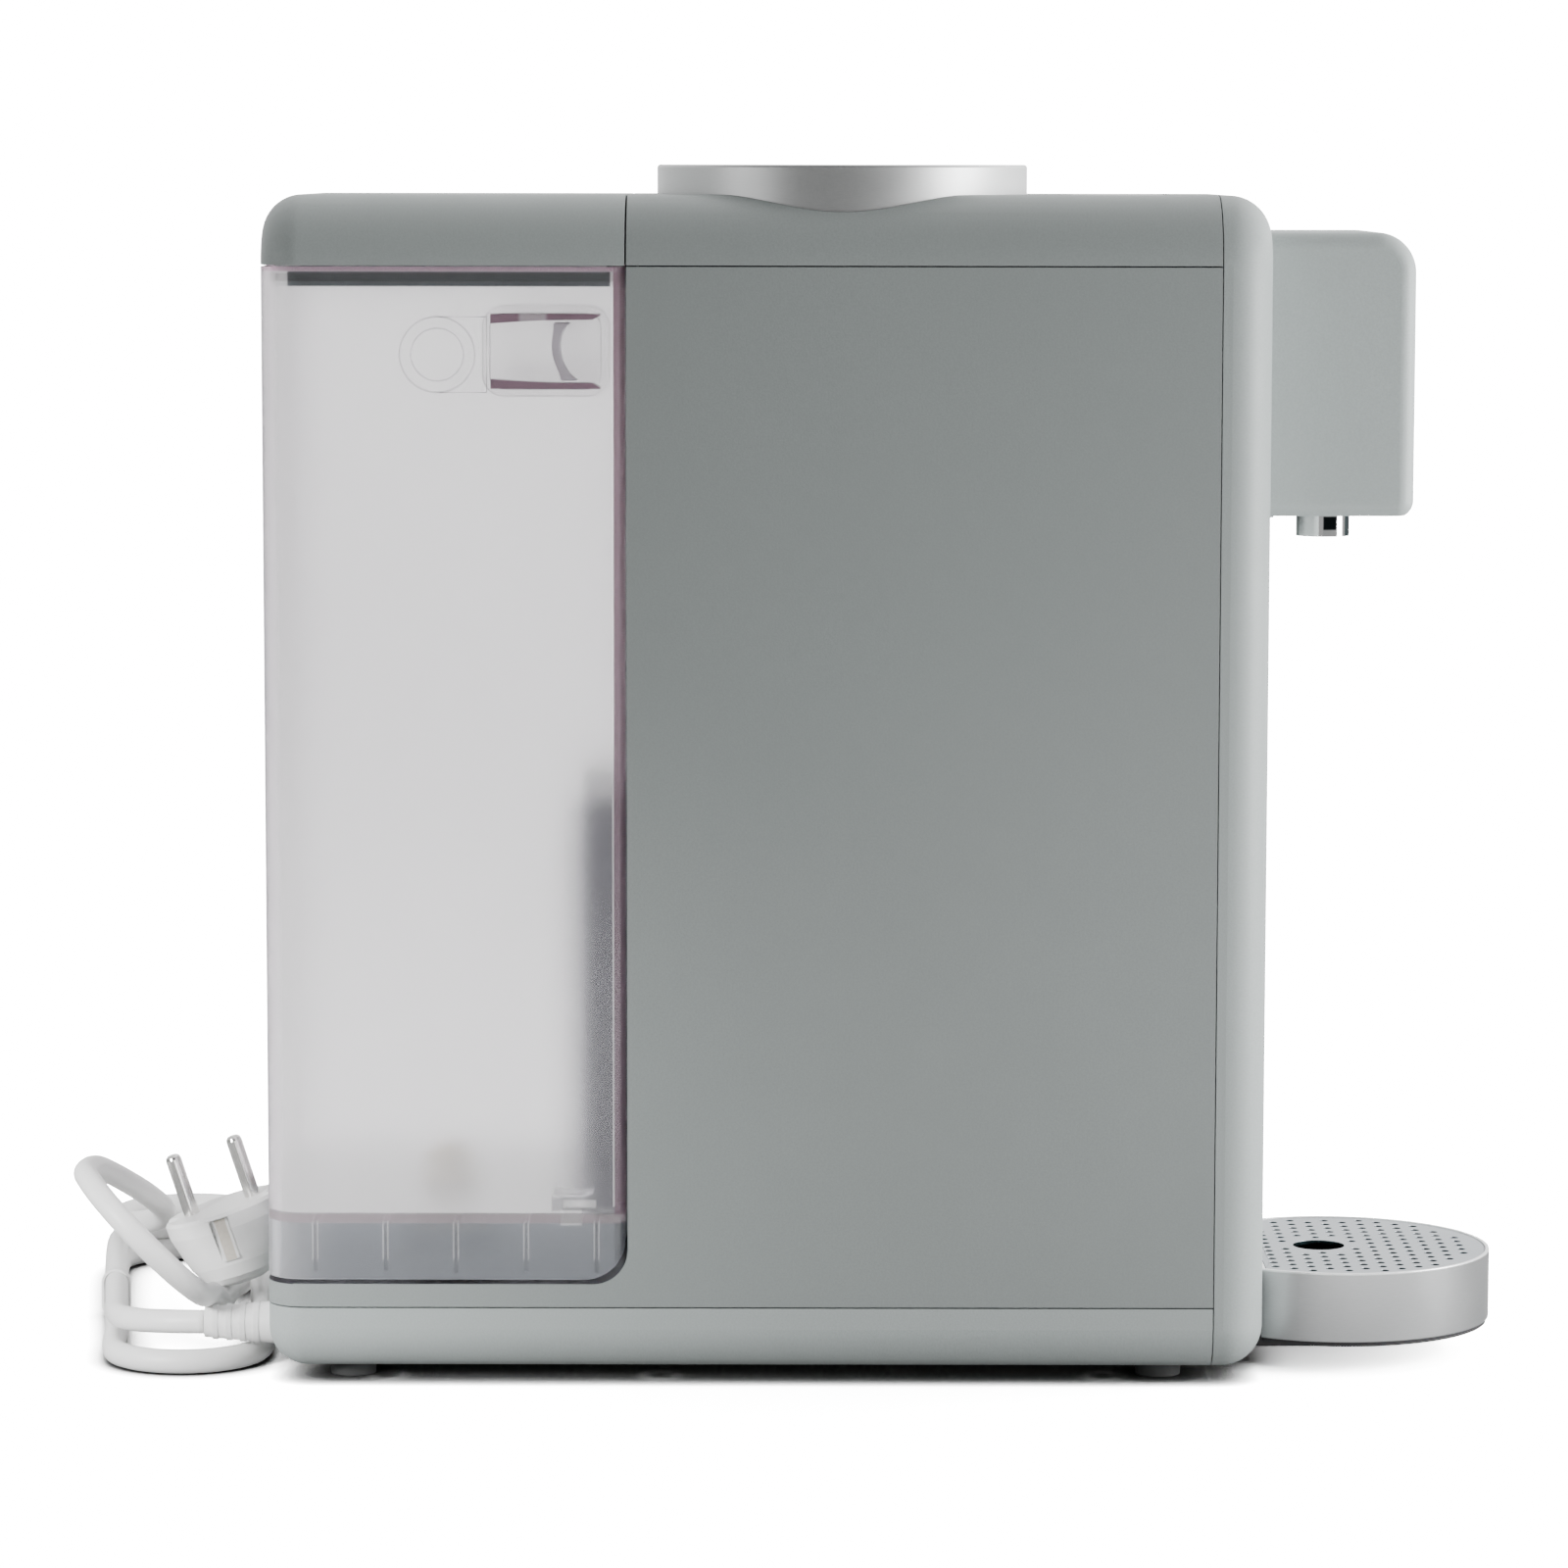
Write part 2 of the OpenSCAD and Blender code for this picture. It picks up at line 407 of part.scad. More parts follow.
module valve_nut() color([0.78, 0.74, 0.66]) difference() {
  union() {
    difference() { union() { rod([0, out_y, 31.6], 12, 15.3); rod([0, out_y, 46.9], 8.3, 5.7); } rod([0, out_y, 30], 9.6, 14); rod([0, out_y, 43], 5.6, 14); }
    difference() { rod([0, out_y, 44], 5.8, 2); for (a = [30:120:270]) rod([3.7 * cos(a), out_y + 3.7 * sin(a), 43], 1.2, 4); }
  }
  rod([0, out_y, 40], 1.75, 10);
  for (a = [0:15:345]) translate([0, out_y, 32.6]) rotate([0, 0, a]) box([11.7, -0.4, 0], [13, 0.4, 4]);
}
module valve_poppet() color([0.72, 0.66, 0.56]) { rod([0, out_y, 40.05], 1.7, 16); rod([0, out_y, 40.6], 4, 0.8); rod([0, out_y, 55.6], 7.8, 2.4); rod([0, out_y, 58], 4.6, 2.4); }
module valve_spring() color([0.75, 0.75, 0.77]) spring(0, out_y, 41.45, 43.95, 2.9, 0.3, 3);
module tank_lid() color([0.62, 0.64, 0.63]) difference() {
  union() {
    slice(y_tank, y_rear, z_cap - 0.1, body_top);
    slice(y_tank + 4.9, y_rear, 313.8, z_cap + 3, tank_wall + 1.6);
  }
  slice(y_tank + 6.7, y_rear, 313, body_top, tank_wall + 3.4);
}
module lid_seal() color([0.25, 0.25, 0.26]) difference() {
  slice(y_tank + 3.6, y_rear, 315.2, 317.4, tank_wall + 0.3);
  slice(y_tank + 4.9, y_rear, 315, 318, tank_wall + 1.6);
}

// ---------- drip tray ----------
module tray_form(d, z0, z1) intersection() {
  translate([0, tray_y, z0]) cylinder(r = tray_r - d, h = z1 - z0, $fn = 128);
  box([-60, -200, z0], [60, y_front - 0.8 - d, z1]);
}
module tray_bowl() color([0.75, 0.76, 0.77]) difference() {
  tray_form(0, 9.7, 30);
  tray_form(3, 11.2, 31);
  tray_form(1.2, 28.4, 31);
}
module tray_ring() color([0.12, 0.12, 0.12]) tray_form(0.7, 8.4, 9.7);
module tray_grate() color([0.8, 0.81, 0.83]) difference() {
  tray_form(1.4, 28.4, 29.7);
  rod([0, -128.2, 28], 7.6, 3);
  for (j = [-8:8], i = [-8:8]) let (x = (i + (abs(j) % 2) / 2) * drain_pitch, y = -128.2 + j * drain_pitch * 0.866)
    if (norm([x, y - tray_y]) < tray_r - 5 && y < y_front - 5 && norm([x, y + 128.2]) > 10.5) rod([x, y, 28], 1.3, 3);
}

// ---------- mains lead ----------
// The lead leaves the gland, makes nearly two flat turns on the floor behind the body, held by a tie, rises
// in one loop that leans over the plug, comes down again on the far end of the flat turns, and ends in the
// plug. route is its middle line, in order.
gland_p = [-36, y_rear, 13.5];
far_c = [108, 218];
near_c = [-22.5, 205];
fold_r = 21.7;
coil_c = [-36, 215.2, 39.6];
coil_r = 25;
coil_tilt = 46;
function fold(c, z, a) = [for (i = [0:6]) [c[0] + fold_r * cos(a - 30 * i), c[1] + fold_r * sin(a - 30 * i), z]];
lead_q = [[-36, 198.5, 13.5], [-34, 209, 13.2], [-28, 218.5, 12.4], [-18.5, 225, 11.5], [-7, 227.5, 10.8], [10, 229.5, 10.5]];
flat_q = concat([[35, 232.5, 10.5], [60, 235.5, 10.5], [88, 238.5, 10.5]], fold(far_c, 10.5, 90),
  [[84, 193.8, 10.5], [54, 190.2, 10], [30, 188, 8.2], [10, 186, 5.6], [-8, 184.2, 4]], fold(near_c, 3.5, -90),
  [[0, 228.5, 3.5], [25, 231.5, 3.5], [50, 234.5, 3.5], [84, 238.2, 3.5]], fold(far_c, 3.5, 90),
  [[86, 196.6, 3.7], [66, 197.6, 5], [48, 197.8, 7.6], [32, 197.6, 10], [16, 197.6, 10.7]]);
climb_q = [[3, 197.8, 11.8], [-10, 197.5, 15], [-22, 197.6, 19]];
// one point of the leaning loop, from its lowest point at 0 to its highest at 8
function coil_at(i) = let (a = -90 - 22.5 * i, x = coil_r * cos(a), y = coil_r * sin(a), h = 2.6 * sin(22.5 * i))
  coil_c + [x, y * cos(coil_tilt) - h * sin(coil_tilt), y * sin(coil_tilt) + h * cos(coil_tilt)];
coil_q = [for (i = [0:8]) coil_at(i)];
end_q = concat([[-18, 231.6, 55.8], [0, 227.2, 49.6], [20, 221.2, 40.8], [40, 218.6, 32.6], [60, 222.4, 26], [80, 231.2, 21], [94, 237.4, 18.4]],
  fold(far_c, 17.6, 90), [[90, 194.6, 19.4], [72, 193.6, 22.4], [54, 193.6, 24.2]]);
route = concat(lead_q, flat_q, climb_q, coil_q, end_q);
plug_c = [14, 198.2, 38.8];
module plug_frame() translate(plug_c) rotate([-18, 0, 0]) children();
module pill(a, b, r, z0, z1) translate([0, 0, z0]) linear_extrude(z1 - z0) union() {
  translate(a) circle(r = r);
  translate(b) circle(r = r);
  let (d = b - a, n = [-d[1], d[0]] / norm(d)) polygon([a + n * r, a - n * r, b - n * r, b + n * r]);
}

module cord_gland() color([0.85, 0.85, 0.86]) {
  translate([gland_p[0], y_rear - 5, gland_p[2]]) rotate([-90, 0, 0]) cylinder(r = 5.5, h = 5);
  translate([gland_p[0], y_rear - 5.2, gland_p[2]]) rotate([-90, 0, 0]) cylinder(r = 7.2, h = 2);
  translate(gland_p) rotate([-90, 0, 0]) cylinder(r1 = 6.2, r2 = 4.4, h = 20);
  for (i = [0:3]) translate([gland_p[0], y_rear + 4 + 4 * i, gland_p[2]]) rotate([-90, 0, 0]) cylinder(r = 6.1 - 0.36 * i, h = 1.6);
}
module cord_lead() color([0.9, 0.9, 0.91]) sweep(curve(lead_q, 2), cord_d / 2, 10);
module cord_hank() color([0.9, 0.9, 0.91]) difference() {
  pill(near_c, far_c, fold_r + 3.6, 0, 14);
  box([35.9, 228.6, -1], [40.1, 237.4, 15]);
}
module cord_climb() color([0.9, 0.9, 0.91]) sweep(curve(concat([[16, 197.6, 10.7]], climb_q, [coil_at(0)]), 3), cord_d / 2, 10);
module cord_coil() color([0.9, 0.9, 0.91]) sweep(curve(coil_q, 2), cord_d / 2, 10);
module cord_end() color([0.9, 0.9, 0.91]) sweep(curve(concat([coil_at(8)], end_q), 2), cord_d / 2, 10);
module cord_tie() color([0.75, 0.75, 0.76]) box([36, 228.7, 0], [40, 237.3, 14.8]);
module plug_body() color([0.92, 0.92, 0.92]) plug_frame() difference() {
  union() {
    rotate_extrude($fn = 96) polygon([[0, -24], [6, -23.5], [10, -22], [12.6, -20], [14.8, -16], [15.8, -13], [17.9, -5], [18, -1], [17.3, 0], [0, 0]]);
    translate([8, 0, -15]) rotate([0, 90, 0]) cylinder(r = 5.8, h = 9);
    translate([17, 0, -15]) rotate([0, 90, 0]) cylinder(r1 = 5.4, r2 = 4.2, h = 23);
  }
  for (s = [-1, 1]) box([s < 0 ? -20 : 15.2, -3, -15], [s < 0 ? -15.2 : 20, 3, -1.2]);
  for (s = [-1, 1]) box([-3, s < 0 ? -20 : 14.2, -14], [3, s < 0 ? -14.2 : 20, 1]);
}
module plug_pins() color([0.8, 0.8, 0.8]) plug_frame() for (s = [-1, 1]) translate([0, 9.5 * s, 0])
  rotate_extrude() polygon([[0, 0], [2.4, 0], [2.4, 17.4], [2.15, 18.2], [1.5, 18.8], [0.7, 19], [0, 19]]);
module plug_earth() color([0.8, 0.78, 0.7]) plug_frame() for (s = [-1, 1]) box([s < 0 ? -15.9 : 15.2, -2.4, -14.4], [s < 0 ? -15.2 : 15.9, 2.4, -1.8]);

main_housing();
front_panel();
base_cover();
top_cover();
display_lens();
head_shell();
head_plate();
nozzle_ring();
nozzle_insert();
head_screws();
board_screws();
bracket_screws();
dock_rail();
dock_socket();
dock_seal();
dock_pin();
inner_frame();
pump_body();
pump_motor();
pump_impeller();
heater_core();
heater_caps();
thermal_cutoff();
hose_inlet();
hose_middle();
hose_outlet();
power_board();
power_parts();
wire_loom();
control_board();
encoder_base();
knob_spring();
knob_collar();
knob_shaft();
knob_cap();
feet();
base_screws();
tray_bracket();
tray_magnets();
tank_shell();
tank_stud();
valve_nut();
valve_poppet();
valve_spring();
tank_lid();
lid_seal();
tray_bowl();
tray_ring();
tray_grate();
cord_gland();
cord_lead();
cord_hank();
cord_climb();
cord_coil();
cord_end();
cord_tie();
plug_body();
plug_pins();
plug_earth();
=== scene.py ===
import json
import math

import bmesh
import bpy
from mathutils import Matrix, Vector

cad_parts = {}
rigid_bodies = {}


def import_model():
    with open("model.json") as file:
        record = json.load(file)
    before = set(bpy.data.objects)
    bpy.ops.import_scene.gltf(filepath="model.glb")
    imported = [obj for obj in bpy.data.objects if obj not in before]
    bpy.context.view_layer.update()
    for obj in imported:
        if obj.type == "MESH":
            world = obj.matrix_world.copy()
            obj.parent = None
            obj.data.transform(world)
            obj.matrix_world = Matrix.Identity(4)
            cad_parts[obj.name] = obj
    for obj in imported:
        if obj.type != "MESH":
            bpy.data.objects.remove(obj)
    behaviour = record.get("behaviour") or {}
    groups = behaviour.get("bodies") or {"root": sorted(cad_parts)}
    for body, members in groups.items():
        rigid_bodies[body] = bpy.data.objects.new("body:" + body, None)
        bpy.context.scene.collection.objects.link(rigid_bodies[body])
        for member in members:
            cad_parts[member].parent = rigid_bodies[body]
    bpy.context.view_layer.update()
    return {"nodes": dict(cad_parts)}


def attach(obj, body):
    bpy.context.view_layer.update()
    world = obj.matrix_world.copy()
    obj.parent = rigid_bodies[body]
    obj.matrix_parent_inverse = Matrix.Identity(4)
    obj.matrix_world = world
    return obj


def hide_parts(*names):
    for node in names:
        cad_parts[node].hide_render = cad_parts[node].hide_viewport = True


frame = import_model()
NODES = frame["nodes"]
SCENE = bpy.context.scene
COLL = SCENE.collection
MM = 0.001

# ------------------------------------------------------------------ camera
cam_data = bpy.data.cameras.new("camera")
cam_data.lens = 130.5
cam_data.sensor_width = 36.0
cam_data.clip_start = 0.05
cam = bpy.data.objects.new("camera", cam_data)
COLL.objects.link(cam)
cam.location = (-1.661, 0.0305, 0.348)
cam.matrix_world = (
    Matrix.Translation(cam.location)
    @ Matrix.Rotation(math.radians(-90), 4, "Z")
    @ Matrix.Rotation(math.radians(83.78), 4, "X")
    @ Matrix.Rotation(math.radians(0.08), 4, "Z")
)
SCENE.camera = cam


# ------------------------------------------------------------------ mains lead: one cord from gland to plug
def fold(c, z, a):
    return [
        (c[0] + 21.7 * math.cos(math.radians(a - 30 * i)), c[1] + 21.7 * math.sin(math.radians(a - 30 * i)), z)
        for i in range(7)
    ]


FAR, NEAR, LOOP, LOOP_R, TILT = (108, 218), (-22.5, 205), (-36, 215.2, 39.6), 25, math.radians(46)


def loop_at(i):
    """One point of the leaning loop, from its lowest point at 0 to its highest at 8."""
    a = math.radians(-90 - 22.5 * i)
    x, y, h = LOOP_R * math.cos(a), LOOP_R * math.sin(a), 2.6 * math.sin(math.radians(22.5 * i))
    return (
        LOOP[0] + x,
        LOOP[1] + y * math.cos(TILT) - h * math.sin(TILT),
        LOOP[2] + y * math.sin(TILT) + h * math.cos(TILT),
    )


route = (
    [(-36, 198.5, 13.5), (-34, 209, 13.2), (-28, 218.5, 12.4), (-18.5, 225, 11.5), (-7, 227.5, 10.8), (10, 229.5, 10.5)]
    + [(35, 232.5, 10.5), (60, 235.5, 10.5), (88, 238.5, 10.5)]
    + fold(FAR, 10.5, 90)
    + [(84, 193.8, 10.5), (54, 190.2, 10), (30, 188, 8.2), (10, 186, 5.6), (-8, 184.2, 4)]
    + fold(NEAR, 3.5, -90)
    + [(0, 228.5, 3.5), (25, 231.5, 3.5), (50, 234.5, 3.5), (84, 238.2, 3.5)]
    + fold(FAR, 3.5, 90)
    + [(86, 196.6, 3.7), (66, 197.6, 5), (48, 197.8, 7.6), (32, 197.6, 10), (16, 197.6, 10.7)]
    + [(3, 197.8, 11.8), (-10, 197.5, 15), (-22, 197.6, 19)]
    + [loop_at(i) for i in range(9)]
    + [(-18, 231.6, 55.8), (0, 227.2, 49.6), (20, 221.2, 40.8), (40, 218.6, 32.6), (60, 222.4, 26), (80, 231.2, 21), (94, 237.4, 18.4)]
    + fold(FAR, 17.6, 90)
    + [(90, 194.6, 19.4), (72, 193.6, 22.4), (54, 193.6, 24.2)]
)


def smooth_path(q, s):
    """Catmull-Rom curve through q, s pieces a gap."""
    out = []
    for i in range(len(q) - 1):
        a, b, c, d = q[max(i - 1, 0)], q[i], q[i + 1], q[min(i + 2, len(q) - 1)]
        for k in range(s):
            t = k / s
            out.append(
                tuple(
                    0.5 * (2 * b[j] + (c[j] - a[j]) * t + (2 * a[j] - 5 * b[j] + 4 * c[j] - d[j]) * t * t + (3 * b[j] - a[j] - 3 * c[j] + d[j]) * t**3)
                    for j in range(3)
                )
            )
    return out + [tuple(q[-1])]


def mesh_object(name, bm, smooth=True):
    me = bpy.data.meshes.new(name)
    bmesh.ops.recalc_face_normals(bm, faces=bm.faces[:])
    bm.to_mesh(me)
    bm.free()
    if smooth:
        me.polygons.foreach_set("use_smooth", [True] * len(me.polygons))
    o = bpy.data.objects.new(name, me)
    COLL.objects.link(o)
    return o


def tube_into(bm, pts, radius, sides=20, closed=False):
    """Sweeps a circle along pts (metres). radius is a number or one for each point."""
    pts = [Vector(p) for p in pts]
    n = len(pts)
    rad = radius if hasattr(radius, "__len__") else [radius] * n
    rings, side = [], None
    for i in range(n):
        t = (pts[(i + 1) % n] - pts[i - 1] if closed else pts[min(i + 1, n - 1)] - pts[max(i - 1, 0)]).normalized()
        if side is None:
            side = t.cross(Vector((0, 1, 0)) if abs(t.z) > 0.9 else Vector((0, 0, 1))).normalized()
        else:
            side = (side - side.dot(t) * t).normalized()
        up = t.cross(side)
        rings.append([bm.verts.new(pts[i] + rad[i] * (math.cos(2 * math.pi * k / sides) * side + math.sin(2 * math.pi * k / sides) * up)) for k in range(sides)])
    for i in range(n if closed else n - 1):
        a, b = rings[i], rings[(i + 1) % n]
        for k in range(sides):
            bm.faces.new((a[k], a[(k + 1) % sides], b[(k + 1) % sides], b[k]))
    if not closed:
        bm.faces.new(rings[0][::-1])
        bm.faces.new(rings[-1])


# strap round the two flat turns
def strap_outline(r):
    """Stadium round both strands, flat where it lies on the floor."""
    pts = [(0.2330 + r * math.cos(a), 0.0105 + r * math.sin(a)) for a in (math.pi * k / 14 for k in range(15))]
    pts += [(0.2330 + r * math.cos(a), 0.0037 + r * math.sin(a)) for a in (math.pi + math.pi * k / 14 for k in range(15))]
    return [(y, max(z, 0.00004)) for y, z in pts]


def strap_into(bm, x0, x1, outer, inner):
    loops = []
    for x, pts in ((x0, outer), (x1, outer), (x1, inner), (x0, inner)):
        loops.append([bm.verts.new((x, y, z)) for y, z in pts])
    n = len(outer)
    for i in range(4):
        a, b = loops[i], loops[(i + 1) % 4]
        for k in range(n):
            bm.faces.new((a[k], a[(k + 1) % n], b[(k + 1) % n], b[k]))


bm = bmesh.new()
strap_into(bm, 0.0362, 0.0398, strap_outline(0.00425), strap_outline(0.00345))
tie_strap = mesh_object("tie_strap", bm)
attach(tie_strap, "chassis")
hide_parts("cord_tie")
b = tie_strap.modifiers.new("edge", "BEVEL")
b.width, b.segments, b.limit_method, b.angle_limit = 0.0002, 2, "ANGLE", math.radians(40)


line = [tuple(c * MM for c in p) for p in smooth_path(route, 5)]
bm = bmesh.new()
tube_into(bm, line, 3.5 * MM, 20)
mains_cord = mesh_object("mains_cord", bm)
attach(mains_cord, "chassis")
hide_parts("cord_lead", "cord_hank", "cord_climb", "cord_coil", "cord_end")


# ------------------------------------------------------------------ material kit
def new_mat(name):
    m = bpy.data.materials.new(name)
    m.use_nodes = True
    nt = m.node_tree
    for n in list(nt.nodes):
        nt.nodes.remove(n)
    out = nt.nodes.new("ShaderNodeOutputMaterial")
    p = nt.nodes.new("ShaderNodeBsdfPrincipled")
    nt.links.new(p.outputs["BSDF"], out.inputs["Surface"])
    return m, nt, p, out


def obj_coords(nt, scale=(1, 1, 1), rotation=(0, 0, 0)):
    tc = nt.nodes.new("ShaderNodeTexCoord")
    mp = nt.nodes.new("ShaderNodeMapping")
    mp.inputs["Scale"].default_value = scale
    mp.inputs["Rotation"].default_value = rotation
    nt.links.new(tc.outputs["Object"], mp.inputs["Vector"])
    return mp.outputs["Vector"]


def noise(nt, vec, scale, detail=3.0, rough=0.5):
    n = nt.nodes.new("ShaderNodeTexNoise")
    n.inputs["Scale"].default_value = scale
    n.inputs["Detail"].default_value = detail
    n.inputs["Roughness"].default_value = rough
    nt.links.new(vec, n.inputs["Vector"])
    return n.outputs["Fac"]


def remap(nt, fac, a, b, c, d):
    n = nt.nodes.new("ShaderNodeMapRange")
    n.inputs["From Min"].default_value = a
    n.inputs["From Max"].default_value = b
    n.inputs["To Min"].default_value = c
    n.inputs["To Max"].default_value = d
    nt.links.new(fac, n.inputs["Value"])
    return n.outputs["Result"]


def mix_col(nt, fac, a, b):
    n = nt.nodes.new("ShaderNodeMix")
    n.data_type = "RGBA"
    pair = [i for i in n.inputs if i.type == "RGBA"]
    for sock, v in zip(pair, (a, b)):
        if hasattr(v, "is_output"):
            nt.links.new(v, sock)
        else:
            sock.default_value = (*v, 1)
    if hasattr(fac, "is_output"):
        nt.links.new(fac, n.inputs[0])
    else:
        n.inputs[0].default_value = fac
    return next(o for o in n.outputs if o.type == "RGBA")


def bump(nt, p, height, strength, dist):
    n = nt.nodes.new("ShaderNodeBump")
    n.inputs["Strength"].default_value = strength
    n.inputs["Distance"].default_value = dist
    nt.links.new(height, n.inputs["Height"])
    nt.links.new(n.outputs["Normal"], p.inputs["Normal"])
    return n


def paint(name, col, rough=0.48, grain=0.045, dust=True, spec=0.5, dock=False):
    """Fine satin paint: slow tone drift, a fine grain in colour and height, a few pale dust specks, and optional
    painted shade on the deck under the tank.
    """
    m, nt, p, out = new_mat(name)
    v = obj_coords(nt)
    drift = noise(nt, v, 9, 2)
    fine = noise(nt, v, 1900, 2, 0.6)
    lo = tuple(c * (1 - grain * 1.6) for c in col)
    hi = tuple(c * (1 + grain * 1.6) for c in col)
    c1 = mix_col(nt, remap(nt, fine, 0.3, 0.7, 0, 1), lo, hi)
    lo2 = tuple(c * 0.965 for c in col)
    c2 = mix_col(nt, remap(nt, drift, 0.35, 0.65, 0.0, 0.5), c1, lo2)
    if dust:
        specks = nt.nodes.new("ShaderNodeTexVoronoi")
        specks.inputs["Scale"].default_value = 90
        specks.inputs["Randomness"].default_value = 1.0
        nt.links.new(v, specks.inputs["Vector"])
        here = remap(nt, specks.outputs["Distance"], 0.012, 0.03, 1, 0)
        few = nt.nodes.new("ShaderNodeSeparateColor")
        nt.links.new(specks.outputs["Color"], few.inputs["Color"])
        pick = remap(nt, few.outputs["Red"], 0.93, 0.96, 0, 0.55)
        mul = nt.nodes.new("ShaderNodeMath")
        mul.operation = "MULTIPLY"
        nt.links.new(here, mul.inputs[0])
        nt.links.new(pick, mul.inputs[1])
        c2 = mix_col(nt, mul.outputs[0], c2, (0.75, 0.78, 0.78))
    if dock:
        # painted shade: near black on the deck that the tank stands over, not on the side faces
        sep = nt.nodes.new("ShaderNodeSeparateXYZ")
        nt.links.new(v, sep.inputs[0])
        here = node_math(nt, "MULTIPLY", step(nt, sep.outputs[1], 0.0752, 0.0756), step(nt, sep.outputs[2], 0.02935, 0.02955))
        side = node_math(nt, "SUBTRACT", 1.0, step(nt, node_math(nt, "ABSOLUTE", sep.outputs[0]), 0.0603, 0.0605))
        here = node_math(nt, "MULTIPLY", here, side)
        c2 = mix_col(nt, here, c2, (0.022, 0.021, 0.026))
    nt.links.new(c2, p.inputs["Base Color"])
    nt.links.new(remap(nt, noise(nt, v, 55, 3), 0.3, 0.7, rough - 0.03, rough + 0.04), p.inputs["Roughness"])
    p.inputs["Specular IOR Level"].default_value = spec
    bump(nt, p, fine, 0.10, 0.0002)
    return m


def plastic(name, col, rough=0.45, var=0.05, scale=700, bump_s=0.08, spec=0.5):
    m, nt, p, out = new_mat(name)
    v = obj_coords(nt)
    f = noise(nt, v, scale, 3)
    g = noise(nt, v, 25, 2)
    a = tuple(c * (1 - var) for c in col)
    b = tuple(min(1, c * (1 + var)) for c in col)
    c1 = mix_col(nt, remap(nt, f, 0.3, 0.7, 0, 1), a, b)
    nt.links.new(mix_col(nt, remap(nt, g, 0.35, 0.65, 0, 0.35), c1, a), p.inputs["Base Color"])
    nt.links.new(remap(nt, g, 0.3, 0.7, rough - 0.04, rough + 0.05), p.inputs["Roughness"])
    p.inputs["Specular IOR Level"].default_value = spec
    bump(nt, p, f, bump_s, 0.0002)
    return m


def metal(name, col, rough=0.3, aniso=0.0, brush=None, bump_s=0.06, var=0.04):
    """Metal with fine directional marks. brush scales the noise so that it is stretched along the grain."""
    m, nt, p, out = new_mat(name)
    v = obj_coords(nt, scale=brush or (1, 1, 1))
    f = noise(nt, v, 900 if brush is None else 400, 4, 0.6)
    g = noise(nt, obj_coords(nt), 40, 2)
    a = tuple(c * (1 - var) for c in col)
    b = tuple(min(1, c * (1 + var)) for c in col)
    nt.links.new(mix_col(nt, remap(nt, f, 0.3, 0.7, 0, 1), a, b), p.inputs["Base Color"])
    nt.links.new(remap(nt, g, 0.3, 0.7, rough - 0.02, rough + 0.03), p.inputs["Roughness"])
    p.inputs["Metallic"].default_value = 1.0
    p.inputs["Anisotropic"].default_value = aniso
    bump(nt, p, f, bump_s, 0.0001)
    return m


def clear(name, col, rough, absorb, density, ior=1.49, weight=1.0):
    """Clear or frosted moulded plastic that tints with depth."""
    m, nt, p, out = new_mat(name)
    v = obj_coords(nt)
    f = noise(nt, v, 260, 3)
    g = noise(nt, v, 18, 2)
    p.inputs["Base Color"].default_value = (*col, 1)
    p.inputs["Transmission Weight"].default_value = weight
    p.inputs["IOR"].default_value = ior
    nt.links.new(remap(nt, g, 0.3, 0.7, max(rough - 0.015, 0.0), rough + 0.02), p.inputs["Roughness"])
    bump(nt, p, f, 0.02, 0.0001)
    va = nt.nodes.new("ShaderNodeVolumeAbsorption")
    va.inputs["Color"].default_value = (*absorb, 1)
    va.inputs["Density"].default_value = density
    nt.links.new(va.outputs["Volume"], out.inputs["Volume"])
    return m


def node_math(nt, op, a, b=None, clamp=False):
    n = nt.nodes.new("ShaderNodeMath")
    n.operation = op
    n.use_clamp = clamp
    for i, v in enumerate((a, b)):
        if v is None:
            continue
        if hasattr(v, "is_output"):
            nt.links.new(v, n.inputs[i])
        else:
            n.inputs[i].default_value = v
    return n.outputs[0]


def step(nt, v, a, b):
    """0 below a, 1 above b, smooth between."""
    n = nt.nodes.new("ShaderNodeMapRange")
    n.interpolation_type = "SMOOTHSTEP"
    n.inputs["From Min"].default_value = a
    n.inputs["From Max"].default_value = b
    nt.links.new(v, n.inputs["Value"])
    return n.outputs["Result"]


def band(nt, v, a, b, soft=0.0002):
    return node_math(nt, "MULTIPLY", step(nt, v, a - soft, a + soft), node_math(nt, "SUBTRACT", 1.0, step(nt, v, b - soft, b + soft)))


